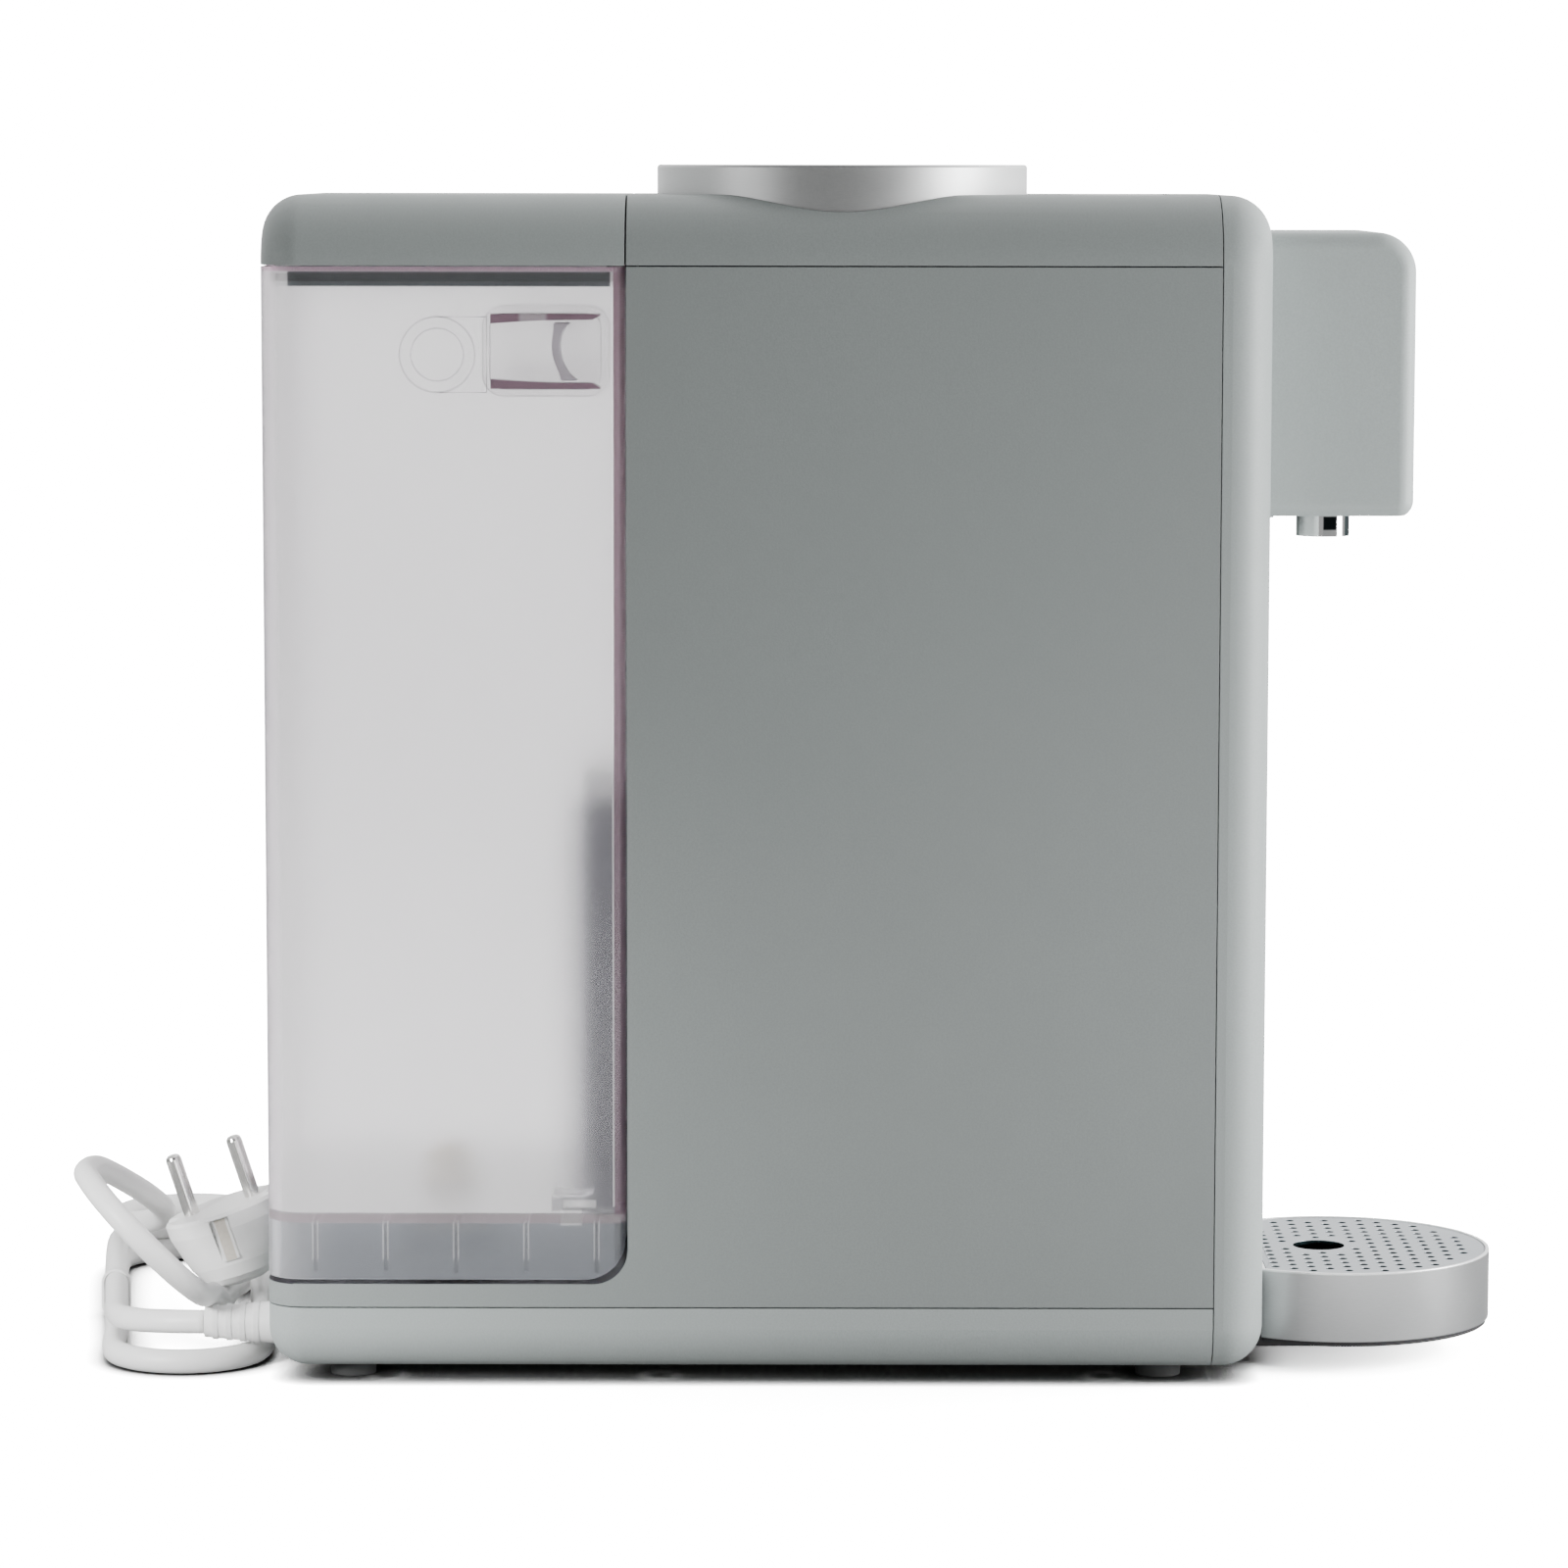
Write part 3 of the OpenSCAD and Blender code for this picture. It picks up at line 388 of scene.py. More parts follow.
def frosted_tank():
    """Frosted moulding: pale walls, mauve where the plastic is seen end on, blue-grey skirt with pale ribs; painted
    shade of the body, rail and rail channel, a painted highlight line along the front wall, a painted guide stud and
    painted light on the skirt's rear end.
    """
    m, nt, p, out = new_mat("tank_frosted")
    v = obj_coords(nt)
    sep = nt.nodes.new("ShaderNodeSeparateXYZ")
    nt.links.new(v, sep.inputs[0])
    x, y, z = sep.outputs
    slow = noise(nt, v, 14, 2)
    c = mix_col(nt, remap(nt, slow, 0.35, 0.65, 0, 1), TANK_FIELD, tuple(k * 0.985 for k in TANK_FIELD))
    # soft shade of the body and the rail in the front of the tank
    dim = node_math(nt, "MULTIPLY", node_math(nt, "SUBTRACT", 1.0, step(nt, y, 0.0790, 0.1010)), band(nt, z, 0.0520, 0.1800, 0.0010))
    dim = node_math(nt, "MULTIPLY", dim, node_math(nt, "SUBTRACT", 1.0, step(nt, z, 0.1500, 0.1800)))
    c = mix_col(nt, node_math(nt, "MULTIPLY", dim, 0.62), c, (0.40, 0.395, 0.42))
    # painted shade of the rail behind the wall, a soft darker band in the lower half
    painted_rail_shade = node_math(nt, "MULTIPLY", node_math(nt, "SUBTRACT", 1.0, step(nt, y, 0.0815, 0.0955)), node_math(nt, "SUBTRACT", 1.0, step(nt, z, 0.1640, 0.1735)))
    painted_rail_shade = node_math(nt, "MULTIPLY", painted_rail_shade, step(nt, z, 0.0494, 0.0504))
    c = mix_col(nt, node_math(nt, "MULTIPLY", painted_rail_shade, 0.62), c, (0.20, 0.20, 0.235))
    # front wall, seen end on through the side
    wall = mix_col(nt, step(nt, z, 0.06, 0.30), TANK_WALL_LOW, TANK_WALL_HIGH)
    c = mix_col(nt, node_math(nt, "MULTIPLY", band(nt, y, 0.0740, 0.0787), step(nt, node_math(nt, "ABSOLUTE", x), 0.0545, 0.0562)), c, wall)
    # painted highlight: a thin white line along the front wall's edge
    c = mix_col(nt, node_math(nt, "MULTIPLY", band(nt, y, 0.0787, 0.0792, 0.0001), band(nt, z, 0.0520, 0.3139, 0.0004)), c, (1.0, 1.0, 1.0))
    # rear wall, a paler version
    c = mix_col(nt, node_math(nt, "MULTIPLY", step(nt, y, 0.1742, 0.1750), 0.5), c, (0.86, 0.80, 0.86))
    # painted shade in the channel for the guide rail, dark in front of the rail
    rail = node_math(nt, "MULTIPLY", node_math(nt, "SUBTRACT", 1.0, step(nt, node_math(nt, "ABSOLUTE", x), 0.0186, 0.0190)), band(nt, y, 0.0755, 0.0893))
    c = mix_col(nt, node_math(nt, "MULTIPLY", rail, band(nt, z, 0.0405, 0.1735)), c, (0.16, 0.155, 0.19))
    # brim, then the shade of the lid's skirt behind the wall
    c = mix_col(nt, band(nt, z, 0.3181, 0.330, 0.0001), c, (0.78, 0.60, 0.70))
    shade = node_math(nt, "MULTIPLY", band(nt, z, 0.3139, 0.3180, 0.0001), band(nt, y, 0.0795, 0.1700, 0.0003))
    c = mix_col(nt, shade, c, TANK_SHADE)
    # floor line and skirt
    skirt = node_math(nt, "SUBTRACT", 1.0, step(nt, z, 0.0472, 0.0476))
    c = mix_col(nt, skirt, c, TANK_SKIRT)
    c = mix_col(nt, band(nt, z, 0.0474, 0.0498, 0.0004), c, (0.85, 0.75, 0.80))
    # guide stud close behind the wall, painted on: a grey rim of painted shade, then the cap and its stem down through
    # the floor in white as painted light
    rim = node_math(nt, "MULTIPLY", band(nt, y, 0.0836, 0.0967, 0.0003), band(nt, z, 0.0507, 0.0546, 0.0003))
    c = mix_col(nt, node_math(nt, "MULTIPLY", rim, 0.55), c, (0.34, 0.34, 0.36))
    stud = node_math(nt, "ADD", node_math(nt, "MULTIPLY", band(nt, y, 0.0840, 0.0935, 0.0004), band(nt, z, 0.0517, 0.0540, 0.0003)), node_math(nt, "MULTIPLY", band(nt, y, 0.0882, 0.0941), band(nt, z, 0.0466, 0.0512)), clamp=True)
    c = mix_col(nt, node_math(nt, "MULTIPLY", stud, 0.8), c, (1.0, 1.0, 1.0))
    # the skirt's rear end catches more light
    c = mix_col(nt, node_math(nt, "MULTIPLY", node_math(nt, "MULTIPLY", skirt, step(nt, y, 0.1560, 0.1760)), 0.55), c, (0.80, 0.80, 0.82))
    wrap = node_math(nt, "ABSOLUTE", node_math(nt, "SUBTRACT", node_math(nt, "MODULO", node_math(nt, "ADD", y, 0.01005 - 0.0839 + 0.0603), 0.0201), 0.01005))
    ribs = node_math(nt, "MULTIPLY", band(nt, wrap, 0.00045, 0.00085, 0.0001), band(nt, z, 0.0365, 0.0478, 0.0006))
    c = mix_col(nt, node_math(nt, "MULTIPLY", ribs, 0.85), c, (1.0, 1.0, 1.0))
    nt.links.new(c, p.inputs["Base Color"])
    p.inputs["Transmission Weight"].default_value = 0.74
    p.inputs["IOR"].default_value = 1.45
    nt.links.new(remap(nt, noise(nt, v, 18, 2), 0.3, 0.7, TANK_ROUGH - 0.015, TANK_ROUGH + 0.02), p.inputs["Roughness"])
    bump(nt, p, noise(nt, v, 900, 3), 0.006, 0.0001)
    va = nt.nodes.new("ShaderNodeVolumeAbsorption")
    va.inputs["Color"].default_value = (0.505, 0.36, 0.43, 1)
    va.inputs["Density"].default_value = 9
    nt.links.new(va.outputs["Volume"], out.inputs["Volume"])
    return m


def nozzle_chrome():
    """Polished ring with painted reflections: bright bands as painted highlights and a dark window of the room painted
    between them.
    """
    m, nt, p, out = new_mat("nozzle_chrome")
    sep = nt.nodes.new("ShaderNodeSeparateXYZ")
    nt.links.new(obj_coords(nt), sep.inputs[0])
    x, y, z = sep.outputs
    c = mix_col(nt, step(nt, noise(nt, obj_coords(nt), 300, 2), 0.3, 0.7), (0.80, 0.82, 0.82), (0.86, 0.87, 0.87))
    # painted reflections: white bands, a dark window and dark teal edges stand in for the room seen in the chrome
    c = mix_col(nt, band(nt, y, -0.1263, -0.1238, 0.0003), c, (1.0, 1.0, 1.0))
    c = mix_col(nt, node_math(nt, "MULTIPLY", band(nt, y, -0.1304, -0.1264, 0.00025), band(nt, z, 0.2424, 0.2463, 0.00025)), c, (0.012, 0.016, 0.018))
    c = mix_col(nt, band(nt, y, -0.1329, -0.1304, 0.0003), c, (1.0, 1.0, 1.0))
    c = mix_col(nt, band(nt, y, -0.1350, -0.1329, 0.0003), c, (0.10, 0.15, 0.16))
    c = mix_col(nt, band(nt, y, -0.1198, -0.1185, 0.0003), c, (0.16, 0.18, 0.18))
    nt.links.new(c, p.inputs["Base Color"])
    p.inputs["Metallic"].default_value = 1.0
    p.inputs["Roughness"].default_value = 0.08
    return m


def tray_metal():
    """Brushed tray: painted highlight on the rim's top face, painted shade inside the bowl."""
    m, nt, p, out = new_mat("tray_satin")
    v = obj_coords(nt, scale=(1, 1, 22))
    sep = nt.nodes.new("ShaderNodeSeparateXYZ")
    nt.links.new(obj_coords(nt), sep.inputs[0])
    x, y, z = sep.outputs
    f = noise(nt, v, 400, 4, 0.6)
    c = mix_col(nt, remap(nt, f, 0.3, 0.7, 0, 1), (0.535, 0.545, 0.55), (0.59, 0.60, 0.605))
    dy = node_math(nt, "ADD", y, 0.1329)
    r = node_math(nt, "SQRT", node_math(nt, "ADD", node_math(nt, "MULTIPLY", x, x), node_math(nt, "MULTIPLY", dy, dy)))
    # painted shade inside the bowl, under the grate
    c = mix_col(nt, node_math(nt, "SUBTRACT", 1.0, step(nt, r, 0.0440, 0.0444)), c, (0.03, 0.042, 0.046))
    # painted highlight on the top face of the rim
    c = mix_col(nt, step(nt, z, 0.0293, 0.0297), c, (0.97, 0.98, 0.98))
    nt.links.new(c, p.inputs["Base Color"])
    nt.links.new(remap(nt, noise(nt, obj_coords(nt), 40, 2), 0.3, 0.7, 0.31, 0.36), p.inputs["Roughness"])
    p.inputs["Metallic"].default_value = 1.0
    p.inputs["Anisotropic"].default_value = 0.3
    bump(nt, p, f, 0.06, 0.0001)
    return m


def earth_metal():
    """Earth contact: a narrow sprung strip of plated metal between white sides."""
    m, nt, p, out = new_mat("earth_strip")
    v = obj_coords(nt)
    sep = nt.nodes.new("ShaderNodeSeparateXYZ")
    nt.links.new(v, sep.inputs[0])
    across = node_math(nt, "SUBTRACT", node_math(nt, "MULTIPLY", node_math(nt, "SUBTRACT", sep.outputs[1], 0.1982), 0.9511), node_math(nt, "MULTIPLY", node_math(nt, "SUBTRACT", sep.outputs[2], 0.0388), 0.3090))
    edge = step(nt, node_math(nt, "ABSOLUTE", across), 0.00155, 0.00165)
    f = noise(nt, v, 900, 3)
    strip = mix_col(nt, remap(nt, f, 0.3, 0.7, 0, 1), (0.60, 0.56, 0.49), (0.68, 0.64, 0.57))
    nt.links.new(mix_col(nt, edge, strip, (0.86, 0.86, 0.85)), p.inputs["Base Color"])
    nt.links.new(remap(nt, f, 0.3, 0.7, 0.32, 0.40), p.inputs["Roughness"])
    p.inputs["Metallic"].default_value = 0.25
    return m


def grate_metal():
    """Blasted sheet metal, with painted shade down in its drain holes."""
    m, nt, p, out = new_mat("grate_satin")
    v = obj_coords(nt)
    sep = nt.nodes.new("ShaderNodeSeparateXYZ")
    nt.links.new(v, sep.inputs[0])
    f = noise(nt, v, 900, 4, 0.6)
    c = mix_col(nt, remap(nt, f, 0.3, 0.7, 0, 1), (0.395, 0.42, 0.445), (0.43, 0.455, 0.48))
    # painted shade on the hole walls below the top face
    c = mix_col(nt, step(nt, sep.outputs[2], 0.02953, 0.02963), (0.016, 0.032, 0.036), c)
    nt.links.new(c, p.inputs["Base Color"])
    nt.links.new(remap(nt, noise(nt, v, 40, 2), 0.3, 0.7, 0.34, 0.39), p.inputs["Roughness"])
    p.inputs["Metallic"].default_value = 1.0
    bump(nt, p, f, 0.08, 0.0001)
    return m


def give(names, m):
    for n in [names] if isinstance(names, str) else names:
        o = NODES[n] if n in NODES else bpy.data.objects[n]
        if not o.data.materials:
            o.data.materials.append(m)
        for i in range(len(o.material_slots)):
            o.material_slots[i].material = m
        if not o.material_slots:
            o.data.materials.append(m)


TANK_FIELD = (0.955, 0.95, 0.957)
TANK_WALL_LOW, TANK_WALL_HIGH = (0.47, 0.325, 0.41), (0.62, 0.41, 0.50)
TANK_SHADE = (0.215, 0.225, 0.235)
TANK_SKIRT = (0.46, 0.48, 0.515)
TANK_ROUGH = 0.25
GREY = (0.325, 0.358, 0.353)
# one grey paint on all shells: the factors make the housing darker and the base, lid, front and head lighter, as
# painted light and shade
m_body = paint("paint_body", GREY)
m_housing = paint("paint_housing", tuple(c * 0.93 for c in GREY), dock=True)
m_base = paint("paint_base", tuple(c * 1.33 for c in GREY))
m_lid = paint("paint_lid", tuple(c * 1.16 for c in GREY))
m_front = paint("paint_front", tuple(c * 1.20 for c in GREY))
m_head = paint("paint_head", tuple(c * 1.44 for c in GREY))
m_under = plastic("plastic_under", (0.16, 0.165, 0.165))
m_inner = plastic("plastic_inner", (0.012, 0.011, 0.015), rough=0.5)
m_black = plastic("plastic_black", (0.02, 0.02, 0.021), rough=0.4)
m_pump = plastic("plastic_pump", (0.03, 0.03, 0.032), rough=0.45)
m_white = plastic("plastic_white", (0.74, 0.74, 0.71), rough=0.4)
m_lens = plastic("lens_black", (0.008, 0.008, 0.01), rough=0.08, bump_s=0.0)
m_cord = plastic("cord_vinyl", (0.92, 0.92, 0.912), rough=0.42, var=0.015, scale=300, bump_s=0.05)
m_plug = plastic("plug_vinyl", (0.93, 0.93, 0.922), rough=0.38, var=0.012, scale=500, bump_s=0.05)
m_tie = plastic("tie_strap", (0.86, 0.86, 0.855), rough=0.5, scale=1200, bump_s=0.2)
m_rubber = plastic("rubber_dark", (0.03, 0.03, 0.032), rough=0.75)
# feet drawn near black, darker than their own grey, as painted shade under the body
m_foot = plastic("rubber_foot_painted_shade", (0.035, 0.037, 0.037), rough=0.7)
m_seal = plastic("silicone_seal", (0.66, 0.65, 0.60), rough=0.5)
m_hose = plastic("silicone_hose", (0.70, 0.70, 0.68), rough=0.35)
m_valve = plastic("valve_beige", (0.40, 0.30, 0.17), rough=0.45)
m_board = plastic("board_green", (0.015, 0.12, 0.045), rough=0.35, scale=250)
m_parts = plastic("parts_dark", (0.035, 0.035, 0.04), rough=0.4)
m_wire = plastic("wire_red", (0.42, 0.02, 0.015), rough=0.4)
m_knob = metal("knob_satin", (0.67, 0.68, 0.68), rough=0.40, aniso=0.35, brush=(1, 1, 26), bump_s=0.05)
m_chrome = metal("chrome", (0.86, 0.87, 0.88), rough=0.06, bump_s=0.0, var=0.01)
m_nozzle = nozzle_chrome()
m_pin = metal("pin_plated", (0.80, 0.79, 0.77), rough=0.2, bump_s=0.02, var=0.03)
m_steel = metal("steel_screw", (0.55, 0.55, 0.56), rough=0.3)
m_motor = metal("steel_drawn", (0.45, 0.45, 0.46), rough=0.35, brush=(1, 1, 20))
m_earth = earth_metal()
m_tray = tray_metal()
m_grate = grate_metal()
m_tank = frosted_tank()
m_stud = clear("stud_clear", (0.97, 0.97, 0.975), 0.04, (0.9, 0.89, 0.9), 2, ior=1.08)

give("main_housing", m_housing)
give("front_panel", m_front)
give("top_cover", m_body)
give("tank_lid", m_lid)
give("base_cover", m_base)
give("head_shell", m_head)
give("head_plate", m_under)
give(["dock_rail", "dock_socket", "inner_frame", "tray_bracket"], m_inner)
give("display_lens", m_lens)
give("nozzle_ring", m_nozzle)
give("nozzle_insert", m_black)
give(["head_screws", "board_screws", "bracket_screws", "base_screws"], m_steel)
give("dock_seal", m_seal)
give(["dock_pin", "tray_magnets", "valve_spring", "knob_spring", "knob_shaft"], m_steel)
give(["pump_body", "heater_caps", "knob_collar"], m_pump)
give(["pump_motor", "heater_core"], m_motor)
give(["pump_impeller", "thermal_cutoff"], m_white)
give(["hose_inlet", "hose_middle", "hose_outlet"], m_hose)
give(["power_board", "control_board"], m_board)
give(["power_parts", "encoder_base"], m_parts)
give("wire_loom", m_wire)
give("knob_cap", m_knob)
give("feet", m_foot)
give("tank_shell", m_tank)
give("tank_stud", m_stud)
give(["valve_nut", "valve_poppet"], m_valve)
give("lid_seal", m_rubber)
give("tray_bowl", m_tray)
give("tray_ring", m_rubber)
give("tray_grate", m_grate)
give("cord_gland", m_cord)
tie_strap.data.materials.append(m_tie)
give("plug_body", m_plug)
give("plug_pins", m_pin)
give("plug_earth", m_earth)
mains_cord.data.materials.append(m_cord)


# ------------------------------------------------------------------ rounded edges on the carried-over shells
def soften(name, width, segments=2, limit=32, planar=True):
    o = NODES[name]
    w = o.modifiers.new("weld", "WELD")
    w.merge_threshold = 2e-6
    if planar:
        d = o.modifiers.new("flat", "DECIMATE")
        d.decimate_type = "DISSOLVE"
        d.angle_limit = math.radians(0.6)
    b = o.modifiers.new("edge", "BEVEL")
    b.width = width * MM
    b.segments = segments
    b.limit_method = "ANGLE"
    b.angle_limit = math.radians(limit)
    b.use_clamp_overlap = True
    b.harden_normals = False
    n = o.modifiers.new("normals", "WEIGHTED_NORMAL")
    n.keep_sharp = True


for name in ("main_housing", "front_panel", "base_cover", "top_cover", "tank_lid", "head_shell"):
    soften(name, 0.35)
soften("tray_bowl", 0.28)
soften("tray_grate", 0.12, planar=False)


# ------------------------------------------------------------------ marks moulded into the tank's sides
RING_Y, RING_Z = 0.1281, 0.2948
m_mark = clear("mark_clear", (0.66, 0.65, 0.66), 0.12, (0.6, 0.5, 0.56), 40)
m_mauve = clear("grip_mauve", (0.36, 0.25, 0.31), 0.25, (0.5, 0.3, 0.4), 60, weight=0.45)
m_web = clear("grip_web", (0.60, 0.57, 0.61), 0.30, (0.5, 0.45, 0.5), 40, weight=0.6)


def circle_pts(x, y, z, r, n=72):
    return [(x, y + r * math.cos(2 * math.pi * k / n), z + r * math.sin(2 * math.pi * k / n)) for k in range(n)]


bm = bmesh.new()
for s in (-1, 1):
    X = s * 0.06100
    tube_into(bm, circle_pts(X, RING_Y, RING_Z, 0.0106), 0.00026, 8, closed=True)
    tube_into(bm, circle_pts(X, RING_Y, RING_Z, 0.0074), 0.00022, 8, closed=True)
    for dz in (-0.0106, 0.0106):
        tube_into(bm, [(X, RING_Y - 0.0005, RING_Z + dz), (X, 0.1210, RING_Z + dz), (X, 0.1142, RING_Z + dz)], 0.00013, 6)
    tube_into(bm, [(X, 0.1142, RING_Z - 0.0108), (X, 0.1142, RING_Z), (X, 0.1142, RING_Z + 0.0108)], 0.00013, 6)
rings = mesh_object("tank_rings", bm)
rings.data.materials.append(m_mark)
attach(rings, "tank")


def prism_x(bm, outline, x0, x1):
    """Closed prism between x0 and x1 with a Y-Z outline."""
    a = [bm.verts.new((x0, y, z)) for y, z in outline]
    b = [bm.verts.new((x1, y, z)) for y, z in outline]
    bm.faces.new(a[::-1])
    bm.faces.new(b)
    for k in range(len(outline)):
        bm.faces.new((a[k], a[(k + 1) % len(a)], b[(k + 1) % len(a)], b[k]))


bm = bmesh.new()
webs = bmesh.new()
for s in (-1, 1):
    for z0, up in ((0.3062, -1), (0.2852, 1)):
        out_pts = [(0.1132, z0)] + [(0.1132 - 0.0310 * k / 14, z0) for k in range(1, 15)]
        in_pts = []
        for k in range(14, -1, -1):
            f = k / 14
            thick = 0.0027 - 0.0010 * f - 0.0004 * math.sin(math.pi * f)
            if f > 0.9:
                thick *= math.sqrt(max(1 - ((f - 0.9) / 0.1) ** 2, 0.05))
            in_pts.append((0.1132 - 0.0310 * f, z0 + up * thick))
        prism_x(bm, out_pts + in_pts, s * 0.06104, s * 0.0535)
    left, right = [], []
    for k in range(17):
        f = k / 16
        z = 0.3037 - 0.0162 * f
        mid = 0.0948 - 0.0105 * (f - 0.4) ** 2
        flare = 0.0012 + 0.0012 * (abs(f - 0.5) / 0.5) ** 5
        left.append((mid + flare, z))
        right.append((mid - flare, z))
    prism_x(webs, left + right[::-1], s * 0.0600, s * 0.0535)
bars = mesh_object("grip_bars", bm, smooth=False)
web = mesh_object("grip_webs", webs, smooth=False)
nt = m_mauve.node_tree
sep = nt.nodes.new("ShaderNodeSeparateXYZ")
nt.links.new(obj_coords(nt), sep.inputs[0])
pale = node_math(nt, "MULTIPLY", band(nt, sep.outputs[1], 0.0975, 0.1050, 0.0007), step(nt, sep.outputs[2], 0.2990, 0.3000))
pale = mix_col(nt, pale, (0.36, 0.25, 0.31), (0.62, 0.56, 0.60))
nt.links.new(pale, next(n for n in nt.nodes if n.type == "BSDF_PRINCIPLED").inputs["Base Color"])
for o, mat in ((bars, m_mauve), (web, m_web)):
    o.data.materials.append(mat)
    b = o.modifiers.new("edge", "BEVEL")
    b.width, b.segments, b.limit_method, b.angle_limit = 0.0004, 2, "ANGLE", math.radians(40)
    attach(o, "tank")


# ------------------------------------------------------------------ lips behind the top seam
bm = bmesh.new()
for s in (-1, 1):
    prism_x(bm, [(-0.0895, 0.3165), (0.0715, 0.3165), (0.0715, 0.3222), (-0.0895, 0.3222)], s * 0.0582, s * 0.0574)
lips = mesh_object("seam_lips", bm, smooth=False)
lips.data.materials.append(m_inner)
b = lips.modifiers.new("edge", "BEVEL")
b.width, b.segments = 0.0001, 1
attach(lips, "chassis")


# ------------------------------------------------------------------ floor, world, lights
def build_floor():
    me = bpy.data.meshes.new("floor")
    bm = bmesh.new()
    bmesh.ops.create_grid(bm, x_segments=8, y_segments=8, size=6)
    bm.to_mesh(me)
    bm.free()
    o = bpy.data.objects.new("floor", me)
    o.location = (0, 0, -0.0002)
    COLL.objects.link(o)
    m = bpy.data.materials.new("floor_pale")
    m.use_nodes = True
    nt = m.node_tree
    for n in list(nt.nodes):
        nt.nodes.remove(n)
    out = nt.nodes.new("ShaderNodeOutputMaterial")
    seen, lit, through = (nt.nodes.new("ShaderNodeBsdfDiffuse") for _ in range(3))
    lit.inputs["Color"].default_value = (0.32, 0.32, 0.32, 1)
    through.inputs["Color"].default_value = (2.35, 2.35, 2.35, 1)
    # painted contact shadow: the floor colour seen by the camera darkens with ambient occlusion
    ao = nt.nodes.new("ShaderNodeAmbientOcclusion")
    ao.samples = 12
    ao.inputs["Distance"].default_value = 0.0082
    open_sky = nt.nodes.new("ShaderNodeMath")
    open_sky.operation = "POWER"
    nt.links.new(ao.outputs["AO"], open_sky.inputs[0])
    open_sky.inputs[1].default_value = 4.6
    place = nt.nodes.new("ShaderNodeSeparateXYZ")
    nt.links.new(obj_coords(nt), place.inputs[0])
    # in front of the tray a place mask paints the floor back to full brightness over the shadow
    painted_light_front = node_math(nt, "MULTIPLY", node_math(nt, "SUBTRACT", 1.0, step(nt, place.outputs[1], -0.122, -0.104)), 0.85)
    open_fac = node_math(nt, "MAXIMUM", open_sky.outputs[0], painted_light_front)
    nt.links.new(mix_col(nt, open_fac, (0.04, 0.04, 0.04), (18, 18, 18)), seen.inputs["Color"])
    lp, mx, mx2 = nt.nodes.new("ShaderNodeLightPath"), nt.nodes.new("ShaderNodeMixShader"), nt.nodes.new("ShaderNodeMixShader")
    nt.links.new(lp.outputs["Is Transmission Ray"], mx2.inputs["Fac"])
    nt.links.new(lit.outputs[0], mx2.inputs[1])
    nt.links.new(through.outputs[0], mx2.inputs[2])
    nt.links.new(lp.outputs["Is Camera Ray"], mx.inputs["Fac"])
    nt.links.new(mx2.outputs[0], mx.inputs[1])
    nt.links.new(seen.outputs[0], mx.inputs[2])
    nt.links.new(mx.outputs[0], out.inputs["Surface"])
    me.materials.append(m)
    return o


build_floor()

world = bpy.data.worlds.new("studio")
SCENE.world = world
world.use_nodes = True
nt = world.node_tree
for n in list(nt.nodes):
    nt.nodes.remove(n)
out = nt.nodes.new("ShaderNodeOutputWorld")


def bg(strength, color=(1, 1, 1)):
    n = nt.nodes.new("ShaderNodeBackground")
    n.inputs["Color"].default_value = (*color, 1)
    if hasattr(strength, "is_output"):
        nt.links.new(strength, n.inputs["Strength"])
    else:
        n.inputs["Strength"].default_value = strength
    return n


tc = nt.nodes.new("ShaderNodeTexCoord")
sep = nt.nodes.new("ShaderNodeSeparateXYZ")
nt.links.new(tc.outputs["Generated"], sep.inputs[0])


def math_node(op, a, b=None, c=None):
    n = nt.nodes.new("ShaderNodeMath")
    n.operation = op
    for i, v in enumerate((a, b, c)):
        if v is None:
            continue
        if hasattr(v, "is_output"):
            nt.links.new(v, n.inputs[i])
        else:
            n.inputs[i].default_value = v
    return n.outputs[0]


def ramp_world(v, a, b, c, d):
    n = nt.nodes.new("ShaderNodeMapRange")
    n.interpolation_type = "SMOOTHSTEP"
    for k, x in zip(("From Min", "From Max", "To Min", "To Max"), (a, b, c, d)):
        n.inputs[k].default_value = x
    nt.links.new(v, n.inputs["Value"])
    return n.outputs["Result"]


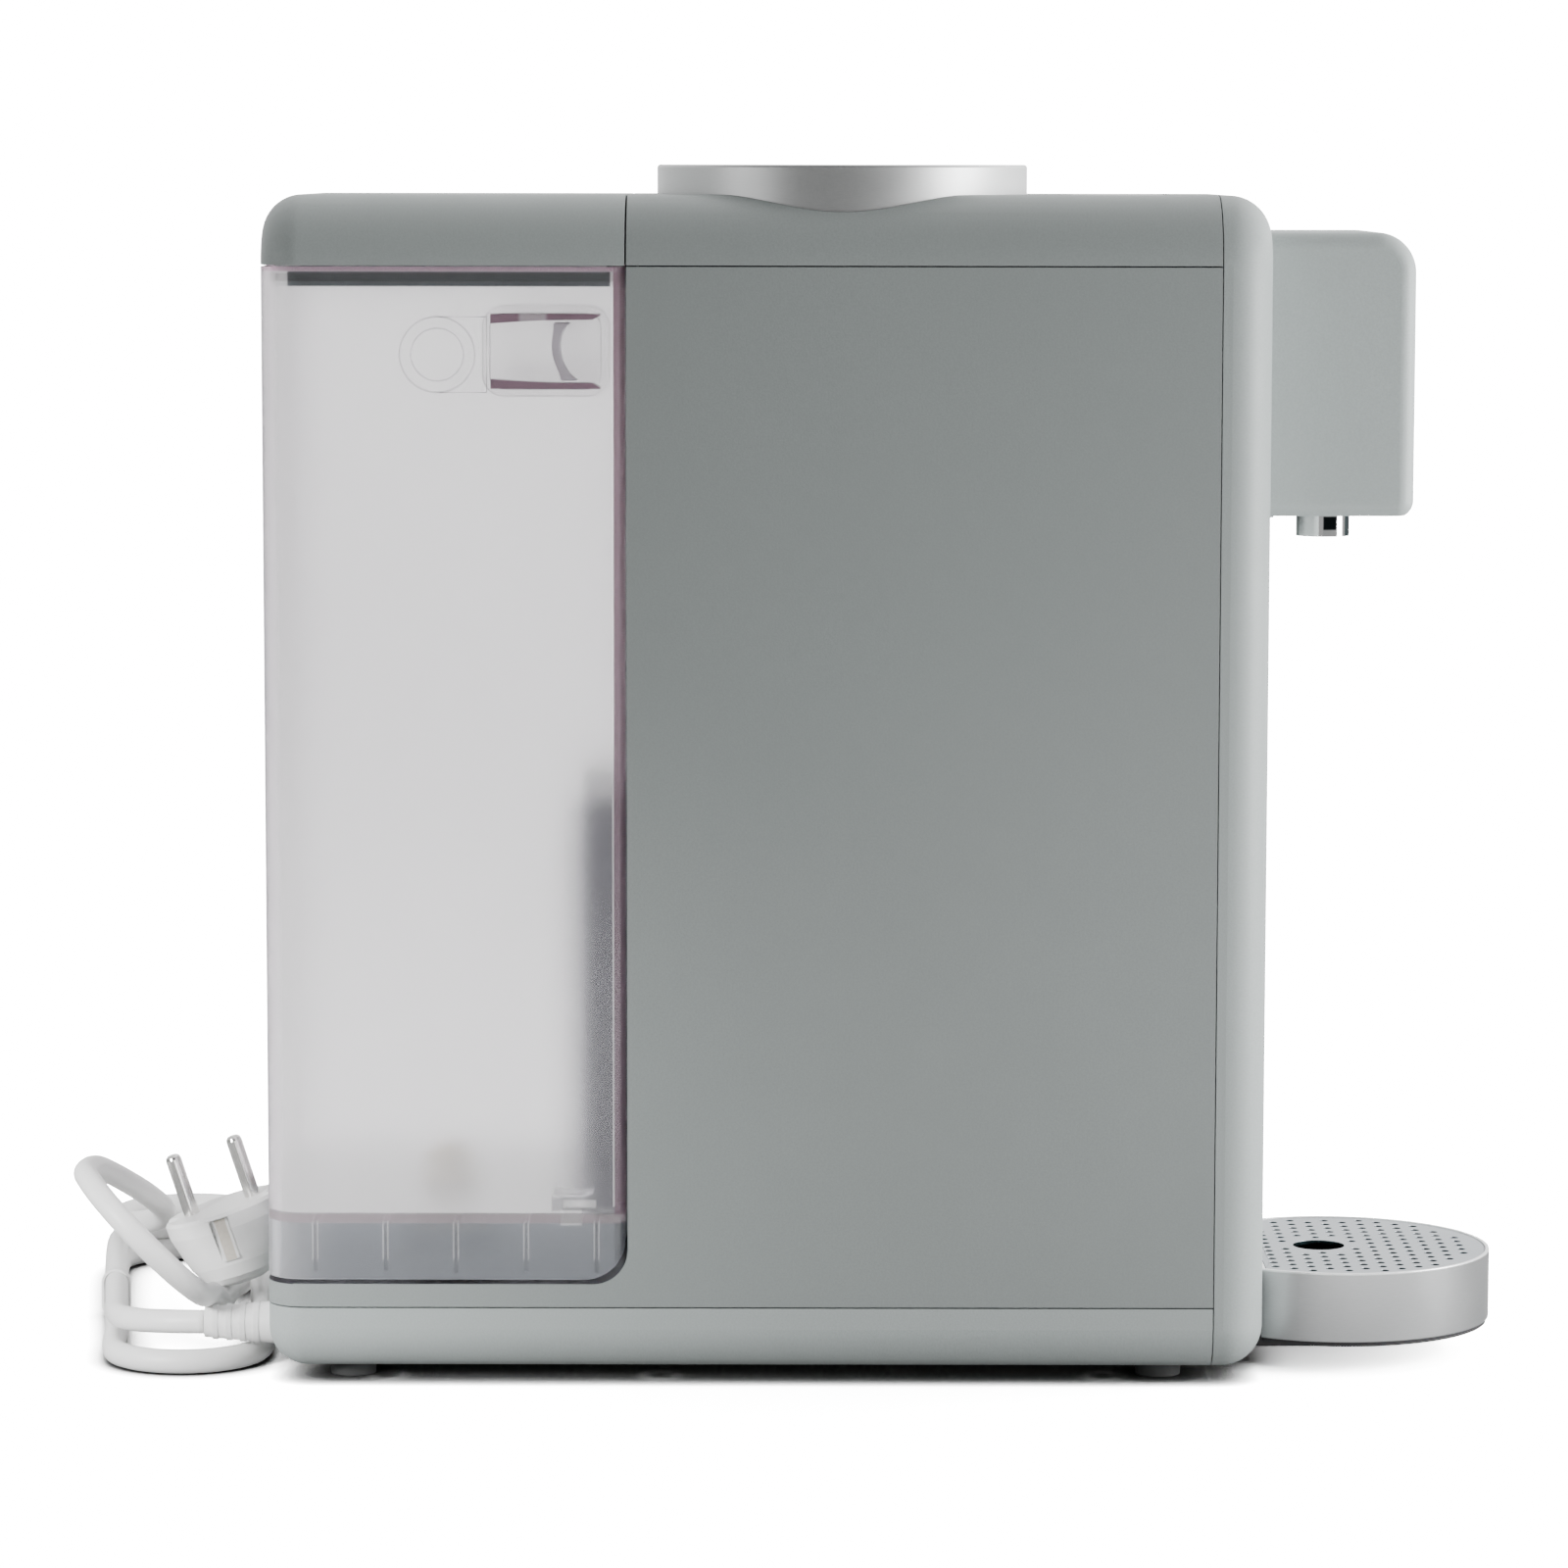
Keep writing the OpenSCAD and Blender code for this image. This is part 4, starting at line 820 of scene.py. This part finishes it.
back = ramp_world(sep.outputs["X"], -0.7, 0.6, 0.125, 1.9)
top = ramp_world(sep.outputs["Z"], 0.1, 0.95, 1.0, 1.05)
ends = math_node("ADD", ramp_world(sep.outputs["Y"], -0.95, -0.2, 1.12, 0.0), ramp_world(sep.outputs["Y"], 0.2, 0.95, 1.0, 0.54))
dark = ramp_world(sep.outputs["X"], -0.995, -0.965, 1.0, 1.0)
light = math_node("MULTIPLY", math_node("MULTIPLY", math_node("MULTIPLY", back, top), ends), dark)
lit_world = bg(light)
seen_world = bg(18.0)
glass_world = bg(4.25)
lp = nt.nodes.new("ShaderNodeLightPath")
mx1, mx2 = nt.nodes.new("ShaderNodeMixShader"), nt.nodes.new("ShaderNodeMixShader")
nt.links.new(lp.outputs["Is Transmission Ray"], mx1.inputs["Fac"])
nt.links.new(lit_world.outputs[0], mx1.inputs[1])
nt.links.new(glass_world.outputs[0], mx1.inputs[2])
nt.links.new(lp.outputs["Is Camera Ray"], mx2.inputs["Fac"])
nt.links.new(mx1.outputs[0], mx2.inputs[1])
nt.links.new(seen_world.outputs[0], mx2.inputs[2])
nt.links.new(mx2.outputs[0], out.inputs["Surface"])


def area(name, loc, target, size, power):
    d = bpy.data.lights.new(name, "AREA")
    d.shape = "RECTANGLE"
    d.size, d.size_y = size
    d.energy = power
    o = bpy.data.objects.new(name, d)
    COLL.objects.link(o)
    o.location = loc
    o.rotation_euler = (Vector(target) - Vector(loc)).to_track_quat("-Z", "Y").to_euler()
    o.visible_camera = False
    return o


area("soft_low", (-0.42, -0.28, 0.03), (0, -0.22, 0.04), (0.8, 0.07), 0.9)
area("soft_back", (-0.35, 0.62, 0.36), (0, 0.14, 0.33), (0.30, 0.12), 0.42)
area("soft_front", (-0.20, -0.85, 0.26), (0, -0.13, 0.20), (0.35, 0.5), 9.8)


def spot(name, loc, target, angle, radius, power):
    d = bpy.data.lights.new(name, "SPOT")
    d.spot_size = math.radians(angle)
    d.spot_blend = 1.0
    d.shadow_soft_size = radius
    d.energy = power
    o = bpy.data.objects.new(name, d)
    COLL.objects.link(o)
    o.location = loc
    o.rotation_euler = (Vector(target) - Vector(loc)).to_track_quat("-Z", "Y").to_euler()
    o.visible_camera = False


spot("soft_rear", (-0.62, 0.66, 0.30), (0, 0.225, 0.03), 26, 0.10, 52)
